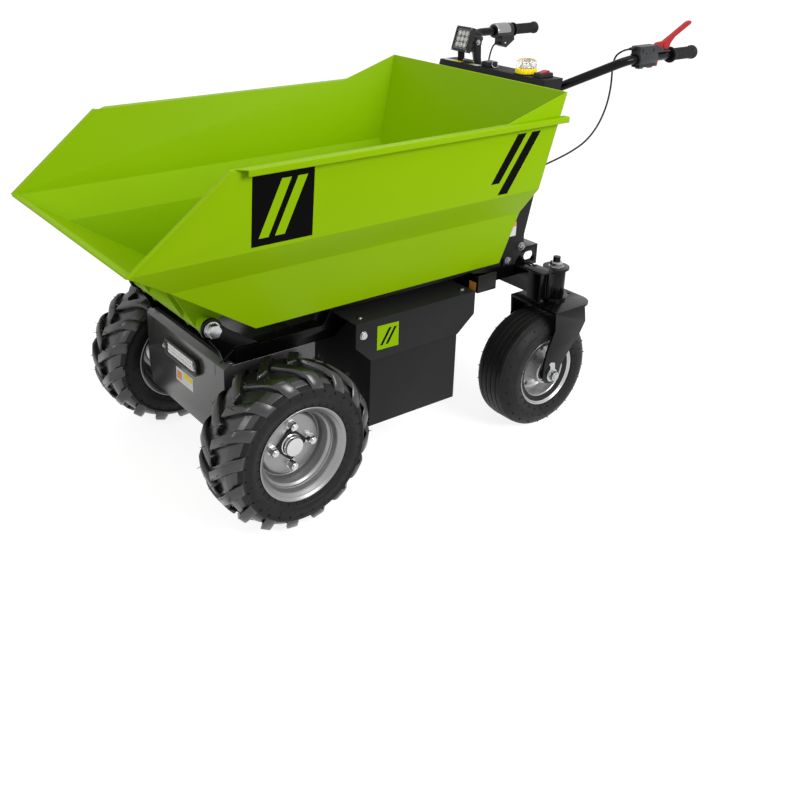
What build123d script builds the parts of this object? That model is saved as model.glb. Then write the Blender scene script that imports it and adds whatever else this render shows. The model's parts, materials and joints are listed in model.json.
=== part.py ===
"""Battery site dumper: a walk-behind skip on two driven front wheels and two rear castors.

Frame: +X forward, +Y to the machine's left, +Z up, origin on the floor under the middle
of the whole machine. Millimetres. Lengths called "ahead" are measured along X from the
front axle, so a piece behind the axle has a negative one.
"""
from build123d import *
from math import atan2, cos, pi, radians, sin, tan
import os

os.makedirs("parts", exist_ok=True)

# ---------------------------------------------------------------- driving dimensions
front_axle_x = 487.0      # the front axle, ahead of the middle of the machine
sides = (("left", 1), ("right", -1))
touch_gap = 0.3           # between pieces of different bodies that rest on each other

# skip: one folded sheet tub
sheet = 3.0
skip_floor_z, skip_fold_z, skip_waist_z, skip_rim_z = 481.0, 622.0, 693.0, 878.0
skip_floor_half, skip_fold_half, skip_waist_half, skip_rim_half = 259.0, 285.0, 329.0, 340.0
skip_floor_front, skip_lip_front, skip_lip_z = 49.0, 378.0, 696.0
skip_floor_rear = -696.0
skip_rim_front, skip_wing_front = 151.0, -612.0
skip_back_top_z = 937.0
skip_back_rake = 0.239    # run per rise of the back plate
rim_out, rim_drop, rim_tail, rim_start = 20.0, 15.0, 12.0, 14.0
lip_fold, lip_rise = 17.0, 1.5      # the ramp's edge, folded level
hem_out, hem_long = 9.0, 5.0        # turned out along the slanting front edges
rim_mitre = 24.0
clear_of_all = 1000.0     # a cut longer than the machine

# tipping pivot under the skip's nose
pivot_ahead, pivot_z = 124.0, 472.0
pivot_tube_r, pivot_pin_r, pivot_clearance = 19.0, 10.0, 0.05
rib_thick, rib_inner_y, rib_outer_y, rib_top_front, rib_rear = 6.0, 88.0, 148.0, 214.0, 57.0
rib_over_tube, tube_short = 6.0, 2.0
ear_thick, ear_inset, ear_r, pin_overhang = 8.0, 10.0, 26.0, 4.0
ear_rear, ear_toe = 6.0, 106.0
pin_washer_r, pin_washer, pin_head_r, pin_head = 20.0, 3.0, 17.0, 15.0

# chassis
frame_half, frame_front = 202.0, 102.0
channel_wall, channel_flange = 4.0, 40.0
rail_low_z, rail_low_top = 375.0, 412.0
rail_high_z, rail_high_top = 402.0, 464.0
rail_gap = 10.0           # from the nose lip back to the rails
crank_top, crank_low = -172.0, -206.0
cross_long, nose_cross = 40.0, 28.0
pad_inset, pad_long, pad_wide, pad_places = 52.0, 36.0, 60.0, (-330.0, -620.0)
pocket_front, pocket_rear, pocket_out, pocket_sheet = -596.0, -660.0, 86.0, 3.0
pocket_low_z, pocket_top_z, pocket_heel_z = 427.0, 474.0, 440.0
nose_low_z, nose_fold_z, nose_top_z, nose_bevel, nose_lip = 165.0, 232.0, 382.0, 14.0, 24.0
nose_rear, nose_fold_in, nose_heel = -150.0, 7.0, 60.0

# rear beam, castor heads and the column's bracket
beam_front, beam_depth, beam_half, beam_low_z, beam_top_z = -816.0, 40.0, 268.0, 370.0, 432.0
post_front, post_rear, post_y, post_wide, post_top_z = -803.0, -843.0, 288.0, 46.0, 442.0
post_groove, post_flange = 8.0, 8.0
post_cap, post_cap_over, post_cap_half = 5.0, 6.0, 33.0
web_wide, washer_gap = 30.0, 6.0
bracket_rear, bracket_low_z, bracket_top_z, bracket_sheet = -900.0, 421.0, 479.0, 4.0
notch_ahead, notch_z, notch_r, notch_long = -866.0, 451.0, 12.0, 36.0

# battery box and its covers
cover_half, cover_top_z, cover_thick = 300.0, 442.0, 3.0
cover_front, cover_rear = -199.0, -577.0
box_front, box_rear, box_low_z = -246.0, -523.0, 155.0
cover_band_z, cover_skirt_z = 380.0, 336.0

# driven wheels, 16 x 6.50-8
wheel_r, wheel_y, wheel_w = 203.0, 305.0, 160.0
tyre_half, rim_r, rim_half_w, rim_wall = wheel_w / 2, 116.0, 73.0, 3.5
bead_seat, bead_in, rim_well, well_half, well_slope = 14.0, 6.0, 12.0, 36.0, 8.0
rim_lip = 3.0
lug_count, lug_high, lug_root = 16, 15.0, 52.0
lug_outline = ((14, -4), (38, -4), (-12, 60), (-28, 80), (-56, 80), (-38, 60))  # rolling, outward
tread_flat, tread_edge, shoulder_drop = 28.0, 54.0, 30.0
disc_offset, disc_r, disc_dish, disc_bore, disc_thick = 17.0, 74.0, 14.0, 24.0, 4.0
motor_gap = 30.0          # from the wheel's middle plane in to the motor's face
motor_r, motor_flange_r, motor_flange, motor_taper = 52.0, 62.0, 8.0, 6.0
hub_r, hub_flange_r, hub_flange, hub_cap_r, hub_cap = 40.0, 62.0, 8.0, 23.0, 19.0
nut_circle_r, wheel_nuts, nut_r, nut_high = 51.0, 4, 9.5, 17.0

# castors, 13 x 5.00-6
castor_r, castor_w, castor_y = 163.0, 132.0, 290.0
castor_swivel, castor_trail = -884.0, 65.0
castor_rim_r, castor_rim_half_w, castor_hub_half = 89.0, 52.0, 56.0
castor_barrel_r, castor_barrel_edge, castor_disc, castor_dish = 34.0, 4.0, 5.0, 9.0
castor_slots, castor_slot_r, castor_slot_long, castor_slot_wide = 6, 53.0, 24.0, 9.0
castor_seat, castor_wall, castor_flange = 14.0, 4.0, 3.0
castor_shoulder, castor_crown, castor_side_r = 10.0, 16.0, 30.0
groove_pitch, groove_wide, groove_deep = 17.0, 3.0, 4.0
castor_grooves = (-1.5, -0.5, 0.5, 1.5)      # places of the grooves, in pitches
fork_half, fork_thick, fork_joggle, fork_top_z = 84.0, 6.0, 8.0, 350.0
fork_bend_z, fork_knee_z, fork_front, fork_tail, fork_tail_r = 300.0, 235.0, 14.0, 76.0, 46.0
fork_hole_back, fork_hole_r = 56.0, 4.0
leg_outline = (           # ahead of the axle, z
    (14, 350), (10, 300), (22, 248), (32, 200), (34, 160), (20, 143), (2, 138), (-14, 142),
    (-34, 184), (-60, 218), (-94, 264), (-108, 300), (-99, 350),
)
race_r, head_r, head_low_z, head_top_z = 33.0, 27.0, 358.0, 437.0
stud_r, stud_top, cap_r, cap_thick, stud_nut_r, stud_nut = 10.0, 34.0, 36.0, 6.0, 15.0, 13.0
castor_axle_r, axle_spacer_r, axle_nut_r, axle_nut, axle_end = 8.0, 14.0, 14.0, 12.0, 18.0
axle_washer_r, axle_washer = 19.0, 2.5

# column, handlebar and controls
column_flange, column_depth, column_gap, column_top_z = 6.0, 68.0, 63.0, 938.0
column_half = frame_half + column_flange
column_wall, foot_step = 3.0, 34.0
foot_front, foot_rear, foot_low_z, foot_top_z = -764.0, -838.0, 441.0, 520.0
bar_r = 12.5
bar_mid_half, bar_mid_z, bar_mid_ahead, bar_bend_r = 120.0, 878.0, -948.0, 60.0
bar_bend_ahead, bar_bend_z, bar_grip_y = -1082.0, 987.0, 300.0
saddle_y, saddle_wide, saddle_half = 70.0, 30.0, 20.0
grip_start, grip_end, grip_r, grip_wall = -1248.0, -1352.0, 16.5, 3.0
grip_flange_r, grip_flange, grip_knob_r = 22.0, 5.0, 19.0
clamp_front, clamp_rear, clamp_r, clamp_wide, clamp_top = -1106.0, -1178.0, 19.5, 30.0, 33.0
clamp_lug, clamp_lug_half, clamp_lug_low, clamp_lugs = 16.0, 7.0, 27.0, (-1134.0, -1172.0)
clamp_arm = ((-1178, 1018), (-1204, 1010), (-1204, 1003), (-1232, 1003), (-1232, 1000), (-1178, 1000))
lever_half = 6.0
lever_outline = (         # ahead, z
    (-1178.3, 1018.3), (-1188, 1026), (-1216, 1027), (-1310, 1074), (-1322, 1075),
    (-1328, 1069), (-1322, 1061), (-1241, 1014), (-1234, 1003.3), (-1204.3, 1003.3),
    (-1204.3, 1010.3),
)
lever_tail_y, lever_tail_thick = 315.0, 5.0
lever_tail = ((-1210, 1014), (-1228, 1012), (-1220, 980), (-1215, 963), (-1207, 963), (-1206, 980))
throttle_front, throttle_rear, throttle_r, throttle_nose = -1190.0, -1240.0, 24.0, -1166.0
throttle_box_half = 17.0
throttle_box = ((-1190, 987), (-1190, 942), (-1211, 934), (-1246, 957), (-1240, 987))   # ahead, z
latch_half, latch_low_z, latch_top_z, latch_front = 20.0, 636.0, 692.0, -757.0
striker_ahead, striker_z, striker_r, slot_half = -776.0, 668.0, 5.0, 10.5
striker_lug_y, striker_lug, striker_lug_half, striker_root = 30.0, 5.0, 8.0, (-20.0, 30.0)
slot_flare = 4.0

# on the column's sloping top: distance back from its front edge, then y
lamp_stand, lamp_stand_long, lamp_foot = 34.0, 24.0, 3.0
beacon_back, beacon_y, beacon_r, beacon_flutes = 33.0, 106.0, 29.5, 14
beacon_base_high, beacon_dome_high, beacon_groove = 16.0, 22.0, 2.0
switch_back, switch_y, switch_long, switch_wide, switch_high = 34.0, 168.0, 48.0, 30.0, 12.0
rocker_long, rocker_wide, rocker_high = 26.0, 16.0, 5.0
socket_back, socket_y, socket_long, socket_wide, socket_high = 24.0, -26.0, 34.0, 30.0, 16.0

# lamps
lamp_y, lamp_ahead, lamp_z, lamp_pitch = -120.0, -868.0, 1006.0, 17.0
lamp_wide, lamp_tall, lamp_bezel, lamp_lens_in, lens_thick = 66.0, 70.0, 15.0, 5.0, 3.0
lamp_core_in, lamp_fin, lamp_fin_pitch, lamp_fins, lamp_frame_wide = 6.0, 4.0, 13.0, 5, 6.0
lamp_tail_in, lamp_fin_short = 14.0, 12.0
lamp_cheek, lamp_deep = 3.0, 62.0
cheek_outline = (         # behind the lamp's face, below its middle
    (46, 68), (22, 68), (18, 4), (25, -3), (36, -1), (42, 8),
)
nose_lamp_z, nose_lamp_half, nose_lamp_high, nose_lamp_deep = 324.0, 88.0, 44.0, 12.0
nose_lens_half, nose_lens_high, nose_lens_in, nose_lamp_chamfer = 69.0, 29.0, 5.0, 10.0

# cables
cable_r = 2.5
lead_gland_ahead, lead_gland_y, lead_gland_z, lead_gland_r = -912.0, -186.0, 800.0, 8.0
release_route = (         # ahead, y, z
    (clamp_front, 294, 1014), (-1086, 294, 1014), (-1074, 280, 1008), (-1076, 256, 990),
    (-1084, 246, 955), (-1088, 245, 908), (-1075, 248, 856), (-1046, 250, 806),
    (-1001, 252, 768), (-945, 250, 745), (-881, 245, 727), (-812, 234, 708), (-787, 192, 690),
    (-786, 134, 674), (-790, 78, 662), (-790, latch_half, 662),
)
lead_route = (            # ahead, y, z
    (throttle_front, -300, 947), (-1172, -300, 947), (-1154, -292, 930), (-1136, -281, 905),
    (-1115, -266, 877), (-1086, -246, 848), (-1046, -222, 822), (-1000, -200, 806),
    (-958, lead_gland_y, lead_gland_z), (lead_gland_ahead, lead_gland_y, lead_gland_z),
)


def side_plane(y):
    """Upright plane across the machine at y, drawn in (ahead, z); extrudes towards the right."""
    return Plane(origin=(front_axle_x, y, 0), x_dir=(1, 0, 0), z_dir=(0, -1, 0))


def level_plane(z):
    """Level plane at height z, drawn in (ahead, y); extrudes upwards."""
    return Plane(origin=(front_axle_x, 0, z))


def cross_plane(ahead):
    """Upright plane facing forward, drawn in (y, z); extrudes forward."""
    return Plane(origin=(front_axle_x + ahead, 0, 0), x_dir=(0, 1, 0), z_dir=(1, 0, 0))


def wheel_plane(ahead, y, z, side):
    """Plane through a wheel's axle, drawn in (outward, radius)."""
    return Plane(origin=(front_axle_x + ahead, y, z), x_dir=(0, side, 0), z_dir=(side, 0, 0))


def axle_line(ahead, z):
    return Axis((front_axle_x + ahead, 0, z), (0, 1, 0))


def back_ahead(z):
    """Outer face of the skip's back plate at height z."""
    return skip_floor_rear - skip_back_rake * (z - skip_floor_z)


def column_front(z):
    """Front face of the column at height z: it leans back as the skip's back plate does."""
    return back_ahead(z) - column_gap


def column_rear(z):
    return column_front(z) - column_depth


def save(part, name):
    part.part.label = name
    export_step(part.part, f"parts/{name}.step")


# ---------------------------------------------------------------- skip
ramp_rise = (skip_lip_z - skip_floor_z) / (skip_lip_front - skip_floor_front)
ramp_angle = atan2(ramp_rise, 1)
back_angle = atan2(skip_back_rake, 1)
tub_section = (  # half width, height
    (skip_floor_half, skip_floor_z),
    (skip_fold_half, skip_fold_z),
    (skip_waist_half, skip_waist_z),
    (skip_rim_half, skip_rim_z),
    (skip_rim_half + (skip_rim_half - skip_waist_half)
     * (skip_back_top_z - skip_rim_z) / (skip_rim_z - skip_waist_z), skip_back_top_z),
)
tub_top = ((skip_lip_front, skip_lip_z), (skip_rim_front, skip_rim_z),
           (skip_wing_front, skip_rim_z), (back_ahead(skip_back_top_z), skip_back_top_z))


def tub_outline(inset):
    """Half widths and heights of the tub's cross-section, its walls drawn in by inset."""
    right = [(-(half - inset), z) for half, z in tub_section]
    left = [(half - inset, z) for half, z in reversed(tub_section)]
    return right + left


with BuildPart() as tub_cavity:
    floor = skip_floor_z + sheet
    ramp_in = sheet / sin(ramp_angle)
    back_in = sheet / cos(back_angle)
    with BuildSketch(cross_plane(-clear_of_all)):
        with BuildLine():
            inner = tub_outline(sheet)
            Polyline((inner[0][0], floor), *inner[1:-1], (inner[-1][0], floor), close=True)
        make_face()
    extrude(amount=2 * clear_of_all)
    with BuildSketch(side_plane(clear_of_all / 2)):
        high = skip_back_top_z + skip_rim_half - skip_waist_half
        nose = skip_floor_front - ramp_in + (floor - skip_floor_z) / ramp_rise
        with BuildLine():
            Polyline(
                (nose, floor),
                (nose + (high - floor) / ramp_rise, high),
                (back_ahead(high) + back_in, high),
                (back_ahead(floor) + back_in, floor),
                close=True,
            )
        make_face()
    extrude(amount=clear_of_all, mode=Mode.INTERSECT)

# hems turned outwards along the slanting front edges
with BuildPart() as tub_hems:
    for name, side in sides:
        inner_waist, inner_rim = skip_waist_half - sheet / 2, skip_rim_half - sheet / 2
        with BuildSketch(cross_plane(0)):
            with BuildLine():
                Polyline(
                    (side * inner_waist, skip_waist_z),
                    (side * (skip_waist_half + hem_out), skip_waist_z),
                    (side * (skip_rim_half + hem_out), skip_rim_z),
                    (side * inner_rim, skip_rim_z), close=True,
                )
            make_face()
        extrude(amount=skip_lip_front)
    with BuildSketch(side_plane(clear_of_all / 2)):
        with BuildLine():
            Polyline(
                (skip_lip_front, skip_lip_z), (skip_rim_front, skip_rim_z),
                (skip_rim_front - hem_long, skip_rim_z), (skip_lip_front - hem_long, skip_lip_z),
                close=True,
            )
        make_face()
    extrude(amount=clear_of_all, mode=Mode.INTERSECT)

with BuildPart() as skip_tub:
    with BuildSketch(cross_plane(-clear_of_all)):
        with BuildLine():
            Polyline(*tub_outline(0), close=True)
        make_face()
    extrude(amount=2 * clear_of_all)
    with BuildSketch(side_plane(clear_of_all / 2)):
        with BuildLine():
            Polyline(
                (skip_floor_rear, skip_floor_z),
                (skip_floor_front, skip_floor_z),
                *tub_top,
                close=True,
            )
        make_face()
    extrude(amount=clear_of_all, mode=Mode.INTERSECT)
    add(tub_cavity.part, mode=Mode.SUBTRACT)
    # the ramp's front edge, folded level into a stiff pouring lip
    lip_half = skip_waist_half - sheet / 2
    lip_rear = skip_lip_front - lip_fold
    with BuildSketch(side_plane(lip_half)):
        with BuildLine():
            Polyline(
                (lip_rear, skip_lip_z - lip_fold * ramp_rise), (lip_rear, skip_lip_z + lip_rise),
                (skip_lip_front, skip_lip_z), (skip_lip_front, skip_lip_z - sheet), close=True,
            )
        make_face()
    extrude(amount=2 * lip_half)
    add(tub_hems.part)
save(skip_tub, "skip_tub")

# the folded rims: a lip turned out and down along each side, open at both ends
with BuildPart() as skip_rims:
    rim_back = back_ahead(skip_rim_z) - rim_tail
    rim_nose = skip_rim_front - rim_start
    for name, side in sides:
        wall, outer = skip_rim_half, skip_rim_half + rim_out
        with BuildSketch(cross_plane(rim_back)):
            with BuildLine():
                Polyline(
                    (side * wall, skip_rim_z),
                    (side * outer, skip_rim_z),
                    (side * outer, skip_rim_z - rim_drop),
                    (side * (outer - sheet), skip_rim_z - rim_drop),
                    (side * (outer - sheet), skip_rim_z - sheet),
                    (side * wall, skip_rim_z - sheet),
                    close=True,
                )
            make_face()
        extrude(amount=rim_nose - rim_back)
    for name, side in sides:
        with BuildSketch(level_plane(skip_rim_z - 2 * rim_drop)):
            with BuildLine():
                Polyline(
                    (rim_nose, side * skip_rim_half),
                    (rim_nose + rim_mitre, side * (skip_rim_half + rim_out + sheet)),
                    (rim_nose - rim_mitre, side * (skip_rim_half + rim_out + sheet)), close=True,
                )
            make_face()
        extrude(amount=3 * rim_drop, mode=Mode.SUBTRACT)
save(skip_rims, "skip_rims")

# four ribs under the ramp on a tube that turns on the tipping pin
ear_inner_y = frame_half - ear_inset - ear_thick
with BuildPart() as skip_pivot:
    for rib_y in (rib_inner_y, rib_outer_y):
        for name, side in sides:
            with BuildSketch(side_plane(side * rib_y + rib_thick / 2)):
                with BuildLine():
                    Polyline(
                        (rib_rear, skip_floor_z + (rib_rear - skip_floor_front) * ramp_rise),
                        (rib_top_front, skip_floor_z + (rib_top_front - skip_floor_front) * ramp_rise),
                        (pivot_ahead + pivot_tube_r + rib_over_tube, pivot_z + rib_over_tube),
                        (pivot_ahead + rib_over_tube, pivot_z - pivot_tube_r - rib_over_tube),
                        (pivot_ahead - pivot_tube_r - rib_over_tube, pivot_z - rib_over_tube),
                        close=True,
                    )
                make_face()
            extrude(amount=rib_thick)
    tube_half = ear_inner_y - tube_short
    with BuildSketch(side_plane(tube_half)):
        with Locations((pivot_ahead, pivot_z)):
            Circle(pivot_tube_r)
    extrude(amount=2 * tube_half)
    with BuildSketch(side_plane(tube_half)):
        with Locations((pivot_ahead, pivot_z)):
            Circle(pivot_pin_r + pivot_clearance)
    extrude(amount=2 * tube_half, mode=Mode.SUBTRACT)
save(skip_pivot, "skip_pivot")

# ---------------------------------------------------------------- chassis
rail_front = frame_front - nose_lip - rail_gap
rail_outline = (
    (rail_front, rail_low_z), (rail_front, rail_low_top), (crank_top, rail_low_top),
    (crank_low, rail_high_top), (beam_front, rail_high_top), (beam_front, rail_high_z),
    (crank_low + crank_low - crank_top, rail_high_z), (crank_low, rail_low_z),
)
with BuildPart() as main_frame:
    for name, side in sides:
        outer, inner = side * frame_half, side * (frame_half - channel_flange)
        with BuildSketch(side_plane(max(outer, inner))):
            with BuildLine():
                Polyline(*rail_outline, close=True)
            make_face()
        extrude(amount=channel_flange)
    for name, side in sides:
        hollow_outer = side * (frame_half - channel_wall)
        hollow_inner = side * (frame_half - channel_flange)
        with BuildSketch(side_plane(max(hollow_outer, hollow_inner))):
            with BuildLine():
                Polyline(*rail_outline, close=True)
            make_face()
            offset(amount=-channel_wall, kind=Kind.INTERSECTION, mode=Mode.REPLACE)
        extrude(amount=channel_flange - channel_wall, mode=Mode.SUBTRACT)
    # cross members between the rails
    cross_members = (  # ahead of the axle, low z, top z
        (rail_front - cross_long, rail_low_z, rail_low_top),
        *[(ahead, rail_high_z, rail_high_top) for ahead in pad_places],
    )
    for ahead, low, top in cross_members:
        with BuildSketch(cross_plane(ahead)):
            with Locations((0, (low + top) / 2)):
                Rectangle(2 * (frame_half - channel_wall), top - low)
        extrude(amount=cross_long)
    # open pockets outside the rails under the skip's rear corners
    pocket_half = frame_half + pocket_out
    pocket_middle = (pocket_front + pocket_rear) / 2
    for name, side in sides:
        pocket_walls = (  # middle y, width, height
            (frame_half + pocket_out / 2, pocket_out, pocket_sheet),
            (pocket_half - pocket_sheet / 2, pocket_sheet, pocket_top_z - pocket_low_z),
        )
        for middle, wide, high in pocket_walls:
            with BuildSketch(level_plane(pocket_low_z)):
                with Locations((pocket_middle, side * middle)):
                    Rectangle(pocket_front - pocket_rear, wide)
            extrude(amount=high)
        for gusset in (pocket_rear, pocket_front - pocket_sheet):
            with BuildSketch(cross_plane(gusset)):
                with BuildLine():
                    Polyline(
                        (side * frame_half, pocket_low_z), (side * pocket_half, pocket_low_z),
                        (side * pocket_half, pocket_top_z), (side * frame_half, pocket_heel_z),
                        close=True,
                    )
                make_face()
            extrude(amount=pocket_sheet)
    # pivot ears at the nose
    for name, side in sides:
        ear_face = max(side * ear_inner_y, side * (ear_inner_y + ear_thick))
        with BuildSketch(side_plane(ear_face)):
            with BuildLine():
                Polyline(
                    (frame_front - nose_lip, rail_low_z),
                    (frame_front - nose_lip, nose_top_z),
                    (frame_front - nose_bevel / 2, nose_top_z),
                    (ear_toe, rail_low_top),
                    (pivot_ahead + ear_r, pivot_z),
                    (pivot_ahead, pivot_z + ear_r),
                    (pivot_ahead - ear_r, pivot_z),
                    (ear_rear, rail_low_top),
                    (ear_rear, rail_low_z),
                    close=True,
                )
            make_face()
            with Locations((pivot_ahead, pivot_z)):
                Circle(ear_r)
                Circle(pivot_pin_r + touch_gap, mode=Mode.SUBTRACT)
        extrude(amount=ear_thick)
save(main_frame, "main_frame")

with BuildPart() as pivot_pin:
    pin_half = ear_inner_y + ear_thick + pin_overhang
    with BuildSketch(side_plane(pin_half)):
        with Locations((pivot_ahead, pivot_z)):
            Circle(pivot_pin_r)
    extrude(amount=2 * pin_half)
    for name, side in sides:
        washer = ear_inner_y + ear_thick
        head = washer + pin_washer
        with BuildSketch(side_plane(max(side * washer, side * head))):
            with Locations((pivot_ahead, pivot_z)):
                Circle(pin_washer_r)
        extrude(amount=pin_washer)
        with BuildSketch(side_plane(max(side * head, side * (head + pin_head)))):
            with Locations((pivot_ahead, pivot_z)):
                RegularPolygon(pin_head_r, 6)
        extrude(amount=pin_head)
save(pivot_pin, "pivot_pin")

# sheet nose between the driven wheels: front plate with a bevelled top, open behind
with BuildPart() as nose_cover:
    nose_foot = frame_front - nose_fold_in
    with BuildSketch(side_plane(frame_half)):
        with BuildLine():
            Polyline(
                (nose_foot, nose_low_z), (frame_front, nose_fold_z),
                (frame_front, nose_top_z - nose_bevel), (frame_front - nose_bevel, nose_top_z),
                (frame_front - nose_lip, nose_top_z), (frame_front - nose_lip, rail_low_z),
                (nose_rear, rail_low_z), (nose_rear, nose_low_z + nose_heel),
                (nose_rear + nose_heel, nose_low_z), close=True,
            )
        make_face()
    extrude(amount=2 * frame_half)
    with BuildSketch(side_plane(frame_half - channel_wall)):
        low, high = nose_low_z + channel_wall, rail_low_z - channel_wall
        with BuildLine():
            Polyline(
                (nose_foot - channel_wall, low), (frame_front - channel_wall, nose_fold_z),
                (frame_front - channel_wall, high), (nose_rear - nose_heel, high),
                (nose_rear - nose_heel, low), close=True,
            )
        make_face()
    extrude(amount=2 * (frame_half - channel_wall), mode=Mode.SUBTRACT)
save(nose_cover, "nose_cover")

# gearmotor housings that carry the driven wheels
for name, side in sides:
    with BuildPart() as drive_motor:
        taper = frame_half + motor_flange + motor_taper
        with BuildSketch(wheel_plane(0, 0, wheel_r, side)):
            with BuildLine():
                Polyline(
                    (frame_half, 0), (frame_half, motor_flange_r),
                    (frame_half + motor_flange, motor_flange_r), (taper, motor_r),
                    (wheel_y - motor_gap, motor_r), (wheel_y - motor_gap, 0), close=True,
                )
            make_face()
        revolve(axis=axle_line(0, wheel_r))
    save(drive_motor, f"drive_motor_{name}")

# battery box with folded covers hung on both sides
with BuildPart() as battery_box:
    with BuildSketch(side_plane(cover_half - cover_thick)):
        with BuildLine():
            Polyline(
                (box_front, box_low_z), (box_front, rail_high_z), (box_rear, rail_high_z),
                (box_rear, box_low_z), close=True,
            )
        make_face()
    extrude(amount=2 * (cover_half - cover_thick))
save(battery_box, "battery_box")

for name, side in sides:
    with BuildPart() as side_cover:
        outer, inner = side * cover_half, side * (cover_half - cover_thick)
        with BuildSketch(side_plane(max(outer, inner))):
            with BuildLine():
                Polyline(
                    (cover_front, cover_top_z), (cover_front, cover_band_z),
                    (box_front, cover_skirt_z), (box_rear, cover_skirt_z),
                    (cover_rear, cover_band_z), (cover_rear, cover_top_z), close=True,
                )
            make_face()
        extrude(amount=cover_thick)
        with BuildSketch(level_plane(cover_top_z - cover_thick)):
            with Locations(((cover_front + cover_rear) / 2, side * (cover_half + frame_half) / 2)):
                Rectangle(cover_front - cover_rear, cover_half - frame_half)
        extrude(amount=cover_thick)
    save(side_cover, f"side_cover_{name}")

# rubber pads that the skip's floor rests on
with BuildPart() as rest_pads:
    pad_y = frame_half - pad_inset
    with BuildSketch(level_plane(rail_high_top)):
        with Locations(*[(ahead + cross_long / 2, y) for ahead in pad_places
                         for y in (-pad_y, pad_y)]):
            Rectangle(pad_long, pad_wide)
    extrude(amount=skip_floor_z - touch_gap - rail_high_top)
save(rest_pads, "rest_pads")

# rear beam across the frame with a castor head at each end
with BuildPart() as rear_beam:
    with BuildSketch(cross_plane(beam_front - beam_depth)):
        with Locations((0, (beam_low_z + beam_top_z) / 2)):
            Rectangle(2 * beam_half, beam_top_z - beam_low_z)
    extrude(amount=beam_depth)
    post_middle, post_low_z = (post_front + post_rear) / 2, head_low_z + channel_wall
    web_low_z = post_low_z + channel_wall
    for name, side in sides:
        with BuildSketch(level_plane(head_low_z)):
            with Locations((castor_swivel, side * castor_y)):
                Circle(head_r)
        extrude(amount=head_top_z - head_low_z)
        with BuildSketch(level_plane(post_low_z)):
            with Locations((post_middle, side * post_y)):
                Rectangle(post_front - post_rear, post_wide)
            with Locations((post_middle, side * (post_y + post_wide / 2))):
                Rectangle(post_front - post_rear - 2 * post_flange, 2 * post_groove,
                          mode=Mode.SUBTRACT)
        extrude(amount=post_top_z - post_low_z)
        with BuildSketch(level_plane(post_top_z)):
            with Locations((post_middle + post_cap_over / 2, side * post_y)):
                RectangleRounded(post_front - post_rear + post_cap_over, 2 * post_cap_half,
                                 post_groove)
        extrude(amount=post_cap)
        with BuildSketch(level_plane(web_low_z)):
            with Locations(((post_rear + castor_swivel) / 2, side * castor_y)):
                Rectangle(post_rear - castor_swivel, web_wide)
        extrude(amount=head_top_z - washer_gap - web_low_z)
        with BuildSketch(level_plane(head_low_z)):
            with Locations((castor_swivel, side * castor_y)):
                Circle(stud_r + pivot_clearance)
        extrude(amount=head_top_z - head_low_z, mode=Mode.SUBTRACT)
save(rear_beam, "rear_beam")

# bracket behind the column: notched side plates on the beam and a top plate between them
with BuildPart() as rear_bracket:
    beam_rear = beam_front - beam_depth
    for name, side in sides:
        outer, inner = side * frame_half, side * (frame_half - bracket_sheet)
        with BuildSketch(side_plane(max(outer, inner))):
            with BuildLine():
                Polyline(
                    (beam_front, beam_top_z), (beam_front, rail_high_top),
                    (column_rear(rail_high_top), rail_high_top),
                    (column_rear(bracket_top_z), bracket_top_z), (bracket_rear, bracket_top_z),
                    (bracket_rear, bracket_low_z), (beam_rear, bracket_low_z),
                    (beam_rear, beam_top_z), close=True,
                )
            make_face()
            with Locations((notch_ahead, notch_z)):
                SlotOverall(notch_long, 2 * notch_r, mode=Mode.SUBTRACT)
        extrude(amount=bracket_sheet)
    with BuildSketch(side_plane(frame_half)):
        low = bracket_top_z - bracket_sheet
        with BuildLine():
            Polyline(
                (column_rear(low), low), (column_rear(bracket_top_z), bracket_top_z),
                (bracket_rear, bracket_top_z), (bracket_rear, low), close=True,
            )
        make_face()
    extrude(amount=2 * frame_half)
save(rear_bracket, "rear_bracket")

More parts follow.
